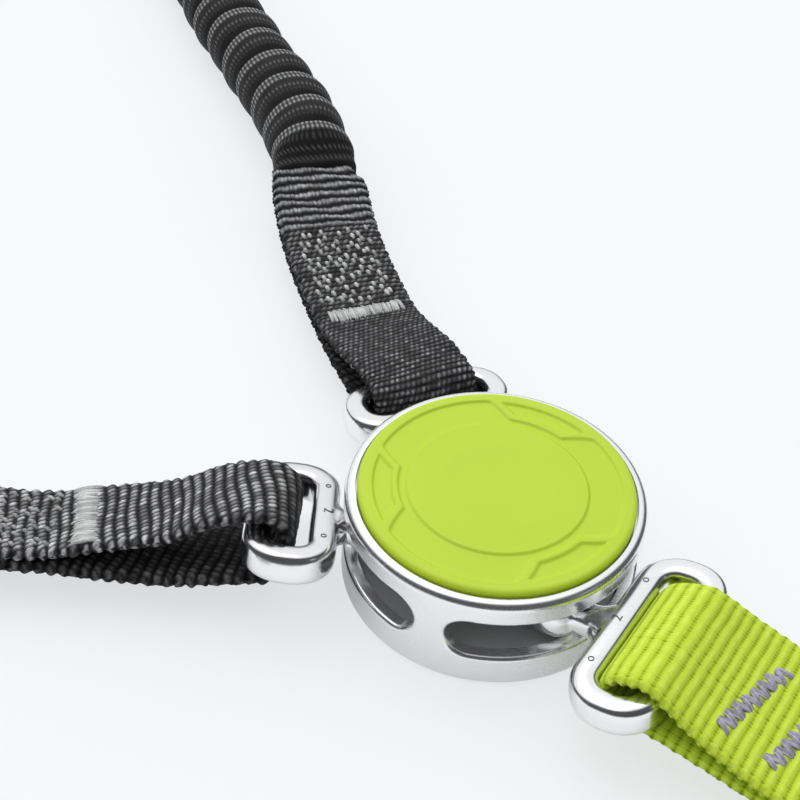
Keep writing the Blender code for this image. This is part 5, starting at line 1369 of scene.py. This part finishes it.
def ribbed(along, across, pitch, thread):
    """Transverse ribs of fine lengthwise threads, and each thread's tone."""
    place = along / pitch
    a = place - np.floor(place) - 0.5
    ridge = np.clip(np.cos(math.pi * a), 0, 1) ** 0.8
    thread_place = across / thread
    b = thread_place - np.floor(thread_place) - 0.5
    round_thread = np.sqrt(np.clip(1 - (2 * b) ** 2 * 0.9, 0, 1))
    tone = hashed(np.floor(thread_place), np.floor(place))
    return ridge, round_thread, tone


def blend_zones(along, first, second, edge, ease=0.0012):
    """One value before a place along the webbing, another after it."""
    share = np.clip((along - edge) / ease + 0.5, 0, 1)
    return first * (1 - share) + second * share


def rear_relief(along, across):
    """Wavy ribs by the elastic, then coarse tufts, then fine tufts round the fold."""
    wave = along + 0.00010 * np.sin(across * 3100.0) + 0.00022 * np.sin(across * 690.0 + along * 900.0)
    ridge, thread, rib_tone = ribbed(wave, across, REAR_RIB, REAR_RIB_THREAD)
    ribs = (0.12 + 0.88 * ridge ** 1.7) * (0.45 + 0.55 * thread)
    coarse, coarse_tone = tuft_relief(along, across, DARK_ROW * 0.75, DARK_TUFT, -DARK_SLANT_SHARE, 0.95)
    fine, fine_tone = tuft_relief(along, across, FINE_ROW, FINE_TUFT, -0.45, 0.95)
    ribbed_end = REAR_STRAP_LENGTH - REAR_RIBS_FROM_BAR
    fine_start = REAR_STRAP_LENGTH - REAR_TACK_FROM_BAR
    height = blend_zones(along, ribs, coarse * 0.85, ribbed_end)
    tone = blend_zones(along, rib_tone * 0.6 + 0.4, coarse_tone * 0.55, ribbed_end, 1e-5)
    fine_zone = np.abs(along - fine_start - FINE_ZONE_LENGTH / 2) < FINE_ZONE_LENGTH / 2
    bend_share = np.clip((along - fine_start) / REAR_TACK_FROM_BAR, 0, 1)
    height = np.where(fine_zone, fine * 0.8, height)
    tone = np.where(fine_zone, 0.2 + fine_tone ** 2 * (0.3 + 0.7 * bend_share), tone)
    # The tone falls on the lower layer as painted shade
    return height * REAR_RELIEF, np.clip(tone, 0, 1) * shaded_below(along, REAR_STRAP_LENGTH)


def shaded_below(along, strap_length):
    """1 on the upper layer, falling on the lower layer: painted shade under the fold, carried in the weave's
    tone.
    """
    return 1 - 0.88 * eased(along, strap_length * 1.07, strap_length * 0.05)


def left_relief(along, across):
    """Large slanted tufts, in rows sheared a little across the webbing."""
    sheared = along - LEFT_ROW_SHEAR * across
    height, tone = tuft_relief(sheared, across, DARK_ROW, DARK_TUFT, DARK_SLANT_SHARE)
    # The tone falls on the lower layer as painted shade
    return height * LEFT_RELIEF, (0.30 + 0.70 * tone) * shaded_below(along, LEFT_STRAP_LENGTH)


def lime_relief(along, across):
    """Broad transverse ribs, finely threaded along the webbing."""
    wave = along + 0.00004 * np.sin(across * 900.0)
    thread, tone = ribbed(wave, across, LIME_ROW, LIME_THREAD)[1:]
    swell = 0.5 + 0.5 * np.cos(2 * math.pi * (wave / LIME_ROW - 0.5))
    return (swell * 0.62 + 0.38 * thread) * LIME_RELIEF, 0.55 + 0.45 * tone


def tail_squeeze(along):
    """Width share and sideways shift of the tail webbing, drawn in where it folds round the bar."""
    near = np.exp(-((along - along[-1] / 2) / TAIL_SQUEEZE_LENGTH) ** 2)
    return 1 - TAIL_SQUEEZE_SHARE * near, -TAIL_FOLD_SHIFT * near


def rear_squeeze(along):
    """Width share and sideways shift of the rear webbing, drawn in where it enters the elastic."""
    near = 1 - eased(np.minimum(along, along[-1] - along), REAR_SHOULDER / 2, REAR_SHOULDER)
    return 1 - REAR_SHOULDER_SHARE * near, REAR_SHOULDER_SHIFT * near


def make_straps():
    """The three straps that are folded round the links."""
    points, sides = rear_strap_line()
    rear = Strap(points, sides, ARM_WEBBING_WIDTH, WEAVE_STEP)
    rear_piece = woven_piece(
        "rear_woven_strap", rear, rear_relief, "fine dark webbing", "rear_arm", edge_loop=0.0003,
        edge_pitch=0.0021, squeeze=rear_squeeze,
    )
    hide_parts("rear_strap")
    route = folded_side(
        LINK_SECTION, left_bar_height, LEFT_LINK_PITCH, LEFT_FOLD_SLACK, LEFT_STRAP_LENGTH,
        (LEFT_STRAP_REST_HEIGHT, STRAP_END_HEIGHT), LEFT_UPPER_SHARES, LEFT_LOWER_SHARES,
    )
    points, sides = straight_strap_line(
        route, left_start, left_outward, LEFT_STRAP_LENGTH, (LEFT_STRAP_FOLD_ROLL, LEFT_STRAP_END_ROLL),
        (left_bar_height, ELASTIC_START_HEIGHT),
    )
    left = Strap(points, sides, ARM_WEBBING_WIDTH, WEAVE_STEP)
    left_piece = woven_piece(
        "left_woven_strap", left, left_relief, "dark webbing", "left_arm", edge_loop=0.0004,
    )
    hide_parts("left_strap")
    route = folded_side(
        LINK_SECTION, tail_bar_height, TAIL_LINK_PITCH, TAIL_FOLD_SLACK, TAIL_STRAP_LENGTH,
        (POUCH_LAYER_HEIGHT, POUCH_LAYER_HEIGHT), TAIL_UPPER_SHARES, TAIL_LOWER_SHARES,
    )
    points, sides = straight_strap_line(
        route, tail_start, tail_outward, TAIL_STRAP_LENGTH, (TAIL_STRAP_FOLD_ROLL, 0.0),
        (tail_bar_height, POUCH_LAYER_HEIGHT + LAYER_SPACING / 2),
    )
    tail = Strap(points, sides, TAIL_LAID_WIDTH, WIDE_WEAVE_STEP)
    tail_piece = woven_piece(
        "tail_woven_strap", tail, lime_relief, "lime webbing", "tail", edge_loop=0.00022,
        edge_pitch=LIME_ROW, squeeze=tail_squeeze, wander=0.0,
    )
    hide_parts("tail_strap")
    return rear, left, tail


rear_strap, left_strap, tail_strap = make_straps()


# Sewing

def bartack(name, strap, first, last, half_width, body, count, shear=0.0):
    """A dense row of threads running along the webbing, with uneven ends."""
    index = np.arange(count)
    across = np.linspace(-half_width, half_width, count)
    slant = shear * across
    starts = np.stack([first + slant + (hashed(index, 5.0) - 0.5) * TACK_UNEVEN, across], axis=1)
    lean = (hashed(index, 7.0) - 0.5) * TACK_UNEVEN
    ends = np.stack([last + slant + (hashed(index, 9.0) - 0.5) * TACK_UNEVEN, across + lean], axis=1)
    return threads_piece(name, strap, starts, ends, TACK_THREAD_RADIUS, THREAD_ARCH, "pale thread", body)


def scattered(name, strap, first, last, material, body, half_width, pitch, lean, share):
    """Loose slanted stitches over a stretch of webbing, some of them missing."""
    starts = []
    ends = []
    rows = int((last - first) / pitch[0])
    columns = int(2 * half_width / pitch[1])
    for row in range(rows):
        for column in range(columns):
            if hashed(row + 11.0, column + 3.0) > share:
                continue
            along = first + pitch[0] * (row + 0.5 + 0.9 * (hashed(row + 1.0, column + 7.0) - 0.5))
            stray = 0.5 * (row % 2) + 0.35 * (hashed(row, column) - 0.5)
            across = -half_width + pitch[1] * (column + 0.5 + stray)
            size = DASH_LENGTH * (0.7 + 0.6 * hashed(row + 5.0, column + 2.0))
            starts.append((along, across))
            ends.append((along + size, across + size * lean))
    return threads_piece(name, strap, starts, ends, DASH_THREAD_RADIUS, THREAD_ARCH, material, body, stations=5)


def zigzag(name, from_bar):
    """A sewn zigzag across the tail webbing, each stroke of a few strands."""
    starts = []
    ends = []
    for stroke in range(ZIGZAG_STROKES):
        corners = []
        for step, side in ((stroke, -1), (stroke + 1, 1)):
            swing = side if stroke % 2 == 0 else -side
            share = step / ZIGZAG_STROKES
            along = TAIL_STRAP_LENGTH - from_bar - ZIGZAG_REACH[0] * share + swing * ZIGZAG_HALF_WIDTH
            across = ZIGZAG_START_ACROSS + ZIGZAG_REACH[1] * share
            corners.append((along, across))
        for strand in range(ZIGZAG_STRANDS):
            shift = (strand - (ZIGZAG_STRANDS - 1) / 2) * ZIGZAG_STRAND_GAP
            starts.append((corners[0][0], corners[0][1] + shift))
            ends.append((corners[1][0], corners[1][1] + shift))
    return threads_piece(
        name, tail_strap, starts, ends, ZIGZAG_THREAD_RADIUS, ZIGZAG_ARCH, "grey thread", "tail", stations=9,
    )


def make_sewing():
    """Bartacks and loose stitches of the arms, and the two zigzags of the tail."""
    tack = REAR_STRAP_LENGTH - REAR_TACK_FROM_BAR
    bartack(
        "rear_bartack", rear_strap, tack - REAR_TACK_LENGTH / 2, tack + REAR_TACK_LENGTH / 2,
        REAR_TACK_HALF_WIDTH, "rear_arm", count=52,
    )
    ribs = REAR_STRAP_LENGTH - REAR_RIBS_FROM_BAR
    scattered(
        "rear_loose_stitches", rear_strap, ribs + 0.0006, tack - 0.0028, "pale thread", "rear_arm",
        half_width=0.0074, pitch=(0.0019, 0.0018), lean=-0.2, share=0.85,
    )
    tack = LEFT_STRAP_LENGTH - LEFT_TACK_FROM_BAR - LEFT_TACK_LENGTH
    for layer, count in ((0, 44), (1, 31)):
        bartack(
            f"left_bartack_{layer}", left_strap, tack + layer * 0.0006,
            tack + LEFT_TACK_LENGTH - layer * 0.0009, LEFT_TACK_HALF_WIDTH - layer * 0.0004, "left_arm",
            count=count, shear=LEFT_ROW_SHEAR,
        )
    scattered(
        "left_loose_stitches", left_strap, 0.0040, tack - 0.0012, "mid thread", "left_arm",
        half_width=0.0088, pitch=(0.0021, 0.0015), lean=0.7, share=0.72,
    )
    for index in range(2):
        zigzag(f"tail_zigzag_{index}", ZIGZAG_FROM_BAR + index * ZIGZAG_SPACING)


make_sewing()


# Arm ends, absorber and tie-in loop

def sleeve(name, centre, outward, side, size, corner, wall, hem, material, body):
    """A flat open-ended sleeve with rounded rims and, where wanted, thicker hems."""
    length, half_width, half_height = size
    steps = max(int(length / SLEEVE_STEP), 12)
    shares = np.linspace(-0.5, 0.5, steps + 1)
    outline = []
    for corner_x, corner_z, start in ((1, 1, 0.0), (-1, 1, 0.5), (-1, -1, 1.0), (1, -1, 1.5)):
        for step in range(SLEEVE_CORNER_STEPS + 1):
            angle = math.pi * (start + step / (2 * SLEEVE_CORNER_STEPS))
            out_x = math.cos(angle)
            out_z = math.sin(angle)
            x = corner_x * (half_width - corner) + corner * out_x
            z = corner_z * (half_height - corner) + corner * out_z
            outline.append((x, z, out_x, out_z))
    outline = np.array(outline)
    from_rim = (0.5 - np.abs(shares)) * length
    rim = np.sqrt(np.clip(1 - (1 - np.clip(from_rim / (wall / 2), 0, 1)) ** 2, 0, 1))
    hemmed = hem * (1 - eased(from_rim, POUCH_CORNER, wall))
    sag = POUCH_SAG * np.sin(shares[:, None] * 23.0 + outline[None, :, 0] * 310.0) * (hem > 0)
    rows = []
    for outer, order in ((True, 1), (False, -1)):
        offset = -wall / 2 + (wall / 2) * rim * (1 if outer else -1) + (hemmed if outer else 0.0)
        x = outline[None, :, 0] + outline[None, :, 2] * offset[:, None]
        z = outline[None, :, 1] + outline[None, :, 3] * (offset[:, None] + (sag if outer else 0.0))
        reach = np.repeat((shares * length)[:, None], len(outline), axis=1)
        rows.append(np.stack([reach, x, z], axis=-1)[::order])
    grid = np.concatenate(rows)
    turn = np.stack([np.array(outward), np.array(side), np.array(UP)])
    vertices = grid.reshape(-1, 3) @ turn + np.array(centre)
    uvs = np.stack([grid[:, :, 0].ravel(), np.tile(running_length(outline[:, :2]), len(grid))], axis=1)
    faces = ring_faces(len(grid), len(outline), True).tolist()
    return dressed_piece(name, vertices, faces, material, body, uvs)


def arm_end(prefix, end, heading, body):
    """Woven end loop and moulded keeper."""
    bar = Vector((end.x, end.y, 0.0)) + heading * (FIT_GAP + END_LOOP_LENGTH)
    route = folded_side(
        (STRAP_BAR_WIDTH, STRAP_BAR_THICKNESS), CARABINER_HEIGHT, 0.0, END_FOLD_SLACK, END_LOOP_LENGTH,
        (END_LOOP_REST_HEIGHT, LOOP_END_HEIGHT), END_UPPER_SHARES, END_LOWER_SHARES,
    )
    points, sides = straight_strap_line(route, bar, -heading, END_LOOP_LENGTH)
    strap = Strap(points, sides, ARM_WEBBING_WIDTH, END_LOOP_STEP)
    loop = woven_piece(
        prefix + "_woven_end_loop", strap, left_relief, "dark webbing", body, edge_loop=0.0004,
    )
    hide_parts(prefix + "_end_loop")
    tack = bartack(prefix + "_end_bartack", strap, *END_TACK_SPAN, LEFT_TACK_HALF_WIDTH, body, count=44)
    centre = bar - heading * KEEPER_FROM_BAR
    centre.z = END_LOOP_REST_HEIGHT + LAYER_SPACING / 2
    size = (
        KEEPER_LENGTH, ARM_WEBBING_WIDTH / 2 + FIT_GAP + KEEPER_WALL,
        LAYER_SPACING / 2 + WEBBING_THICKNESS / 2 + FIT_GAP + KEEPER_WALL,
    )
    keeper = sleeve(
        prefix + "_moulded_keeper", centre, heading, UP.cross(heading), size, KEEPER_WALL * 1.4, KEEPER_WALL,
        0.0, "rubber", body,
    )
    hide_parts(prefix + "_keeper")
    return [loop.name, tack.name, keeper.name]


def tie_in_height(reach):
    """Height of the tie-in loop's lower layer."""
    settled = ramp(reach, *TIE_IN_SETTLE_SHARES)
    return POUCH_LAYER_HEIGHT + (TIE_IN_REST_HEIGHT - POUCH_LAYER_HEIGHT) * settled


def make_pouch(start):
    """Sewn pouch with hemmed ends."""
    pouch = sleeve(
        "sewn_pouch", start + tail_outward * (POUCH_LENGTH / 2) + UP * (POUCH_HEIGHT / 2), tail_outward,
        tail_side, (POUCH_LENGTH, POUCH_WIDTH / 2, POUCH_HEIGHT / 2), POUCH_CORNER, POUCH_WALL, POUCH_HEM,
        "pouch fabric", "tail",
    )
    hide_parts("absorber_pouch")


def make_tear_webbing(start):
    """Webbing laid to and fro inside the pouch."""
    margin = POUCH_INSERT + FIT_GAP + WEBBING_THICKNESS / 2 + LAYER_SPACING / 2
    run = POUCH_LENGTH - 2 * margin
    points = []
    for index in range(PACK_LAYERS):
        height = POUCH_LAYER_HEIGHT + LAYER_SPACING * index
        outgoing = index % 2 == 0
        for share in (0.0, 0.5, 1.0):
            place = share if outgoing else 1 - share
            points.append(start + tail_outward * (margin + run * place) + UP * height)
        if index < PACK_LAYERS - 1:
            turn = margin + run + LAYER_SPACING / 2 if outgoing else margin - LAYER_SPACING / 2
            points.append(start + tail_outward * turn + UP * (height + LAYER_SPACING / 2))
    pack = Strap(points, [tail_side] * len(points), TAIL_WEBBING_WIDTH, HIDDEN_WEAVE_STEP)
    piece = woven_piece("woven_tear_webbing", pack, pack_relief, "lime webbing", "tail", wander=0.0)
    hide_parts("tear_webbing")


def make_tie_in_loop(start):
    """Loop that is girth-hitched to the harness, standing open at its end."""
    points = []
    for reach, rise in TIE_IN_UPPER_SHARES:
        height = tie_in_height(reach) + LAYER_SPACING + TIE_IN_EYE_HEIGHT * rise
        points.append(Vector((TIE_IN_LENGTH * reach, height, 0.0)))
    apex_height = TIE_IN_REST_HEIGHT + LAYER_SPACING / 2 + TIE_IN_EYE_HEIGHT * TIE_IN_APEX_SHARE
    points.append(Vector((TIE_IN_LENGTH, apex_height, 0.0)))
    turn_reach, turn_rise = TIE_IN_TURN_SHARES
    turn_height = TIE_IN_REST_HEIGHT + LAYER_SPACING * turn_rise
    points.append(Vector((TIE_IN_LENGTH * turn_reach, turn_height, 0.0)))
    for reach, rise in TIE_IN_LOWER_SHARES:
        points.append(Vector((TIE_IN_LENGTH * reach, tie_in_height(reach) + TIE_IN_EYE_HEIGHT * rise, 0.0)))
    route = [start + tail_outward * p.x + UP * p.y for p in smooth_curve(points, PLAN_SAMPLES)]
    loop = Strap(route, [tail_side] * len(route), TAIL_WEBBING_WIDTH, TIE_IN_STEP)
    piece = woven_piece(
        "woven_tie_in_loop", loop, lime_relief, "lime webbing", "tail", edge_loop=0.00022,
        edge_pitch=LIME_ROW, wander=0.0,
    )
    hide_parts("tie_in_loop")


def pack_relief(along, across):
    """The lime weave, pressed flatter inside the pouch."""
    height, tone = lime_relief(along, across)
    return height * 0.4, tone


rear_end_pieces = arm_end("rear", rear_end, rear_heading, "rear_arm")
left_end_pieces = arm_end("left", left_end, left_heading, "left_arm")
pouch_start = tail_start + tail_outward * (TAIL_STRAP_LENGTH - POUCH_INSERT)
make_pouch(pouch_start)
make_tear_webbing(pouch_start)
make_tie_in_loop(pouch_start + tail_outward * (POUCH_LENGTH - POUCH_INSERT))


def refined(name, finish, body):
    """A solid's own shape with its corners shaded softly."""
    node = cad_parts[name]
    mesh = node.data.copy()
    mesh.transform(node.matrix_world)
    piece = bpy.data.objects.new("finished_" + name, mesh)
    bpy.context.scene.collection.objects.link(piece)
    weld_and_face_out(piece)
    shade_by_angle(piece, 32.0)
    mesh.materials.clear()
    mesh.materials.append(MATERIALS[finish])
    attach(piece, body)
    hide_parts(name)
    return piece.name


def refine_carabiner(prefix):
    """Softly shaded gate, plunger, lever and pins of one carabiner, beside its frame."""
    names = [prefix + "_carabiner_frame"]
    for part, finish, body in (
        ("gate", "gate metal", "gate"), ("gate_pin", "steel", "arm"), ("gate_plunger", "gate metal", "gate"),
        ("lever", "lever plastic", "lever"), ("lever_pin", "steel", "arm"),
    ):
        names.append(refined(f"{prefix}_carabiner_{part}", finish, f"{prefix}_{body}"))
    return names


rear_end_pieces += refine_carabiner("rear")
left_end_pieces += refine_carabiner("left")
for hidden in ("core_drum", "lower_glide_ring", "upper_glide_ring"):
    refined(hidden, "acetal", "hub")


rear_link = forged_link(
    "rear_forged_link", ARM_WINDOW_LENGTH, REAR_FOOT_AZIMUTH, REAR_LINK_AZIMUTH, REAR_LINK_PITCH, 0.0,
    "rear_arm",
)
left_link = forged_link(
    "left_forged_link", ARM_WINDOW_LENGTH, LEFT_FOOT_AZIMUTH, LEFT_LINK_AZIMUTH, LEFT_LINK_PITCH,
    LEFT_LINK_ROLL, "left_arm",
)
tail_link = forged_link(
    "tail_forged_link", TAIL_WINDOW_LENGTH, TAIL_FOOT_AZIMUTH, TAIL_LINK_AZIMUTH, TAIL_LINK_PITCH, 0.0,
    "tail",
)
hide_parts("rear_link")
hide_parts("left_link")
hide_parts("tail_link")


# Studio

FLOOR_SIZE = 12.0
FLOOR_DROP = 0.0002
SOFT_LIGHT_DIRECTION = (-0.22, 0.55, 0.80)
LAMPS = (("overhead_light", (-0.25, 0.35, 0.95), 0.8, 1.9), ("side_light", (0.9, -0.35, 0.55), 0.25, 0.10))


def make_floor():
    """Plain pale floor, a little brighter to the camera than to the things that lie on it."""
    bpy.ops.mesh.primitive_plane_add(size=FLOOR_SIZE, location=(0.0, 0.0, -FLOOR_DROP))
    floor = bpy.context.active_object
    floor.name = "floor"
    tree, shader = start_material("floor", 0.9)
    path = tree.nodes.new("ShaderNodeLightPath")
    seen = path.outputs["Is Camera Ray"]
    colour = blend_colours(tree, seen, (0.80, 0.805, 0.815, 1), grey(0.26, 0.262))
    tree.links.new(colour, shader.inputs["Base Color"])
    mirrored = times(tree, path.outputs["Is Glossy Ray"], 0.24)
    tree.links.new(calc(tree, "ADD", times(tree, seen, 0.70), mirrored), shader.inputs["Emission Strength"])
    shader.inputs["Emission Color"].default_value = (0.965, 0.977, 1.0, 1)
    shader.inputs["Specular IOR Level"].default_value = 0.0
    floor.data.materials.append(MATERIALS["floor"])


def make_sky():
    """An even sky with a soft light overhead, crisper where polished metal mirrors it."""
    world = bpy.data.worlds.new("studio")
    bpy.context.scene.world = world
    world.use_nodes = True
    tree = world.node_tree
    facing = tree.nodes.new("ShaderNodeVectorMath")
    facing.operation = "DOT_PRODUCT"
    tree.links.new(tree.nodes.new("ShaderNodeTexCoord").outputs["Generated"], facing.inputs[0])
    facing.inputs[1].default_value = SOFT_LIGHT_DIRECTION
    soft = remap(tree, facing.outputs["Value"], 0.15, 0.62)
    crisp = remap(tree, facing.outputs["Value"], 0.57, 0.72)
    soft_sky = blend_colours(tree, soft, (0.20, 0.205, 0.21, 1), (1.18, 1.19, 1.21, 1))
    crisp_sky = blend_colours(tree, crisp, (0.075, 0.076, 0.08, 1), (0.96, 0.965, 0.97, 1))
    mirrored = tree.nodes.new("ShaderNodeLightPath").outputs["Is Glossy Ray"]
    sky = tree.nodes["Background"]
    tree.links.new(blend_colours(tree, mirrored, soft_sky, crisp_sky), sky.inputs["Color"])
    sky.inputs["Strength"].default_value = 1.0


def make_lamps():
    """Area lamps that look at the origin."""
    for name, place, size, power in LAMPS:
        lamp = bpy.data.lights.new(name, "AREA")
        lamp.size = size
        lamp.energy = power
        light = bpy.data.objects.new(name, lamp)
        bpy.context.scene.collection.objects.link(light)
        light.location = place
        light.rotation_euler = (-Vector(place)).to_track_quat("-Z", "Y").to_euler()


make_floor()
make_sky()
make_lamps()
place_camera()

bpy.context.scene.view_settings.view_transform = "Standard"
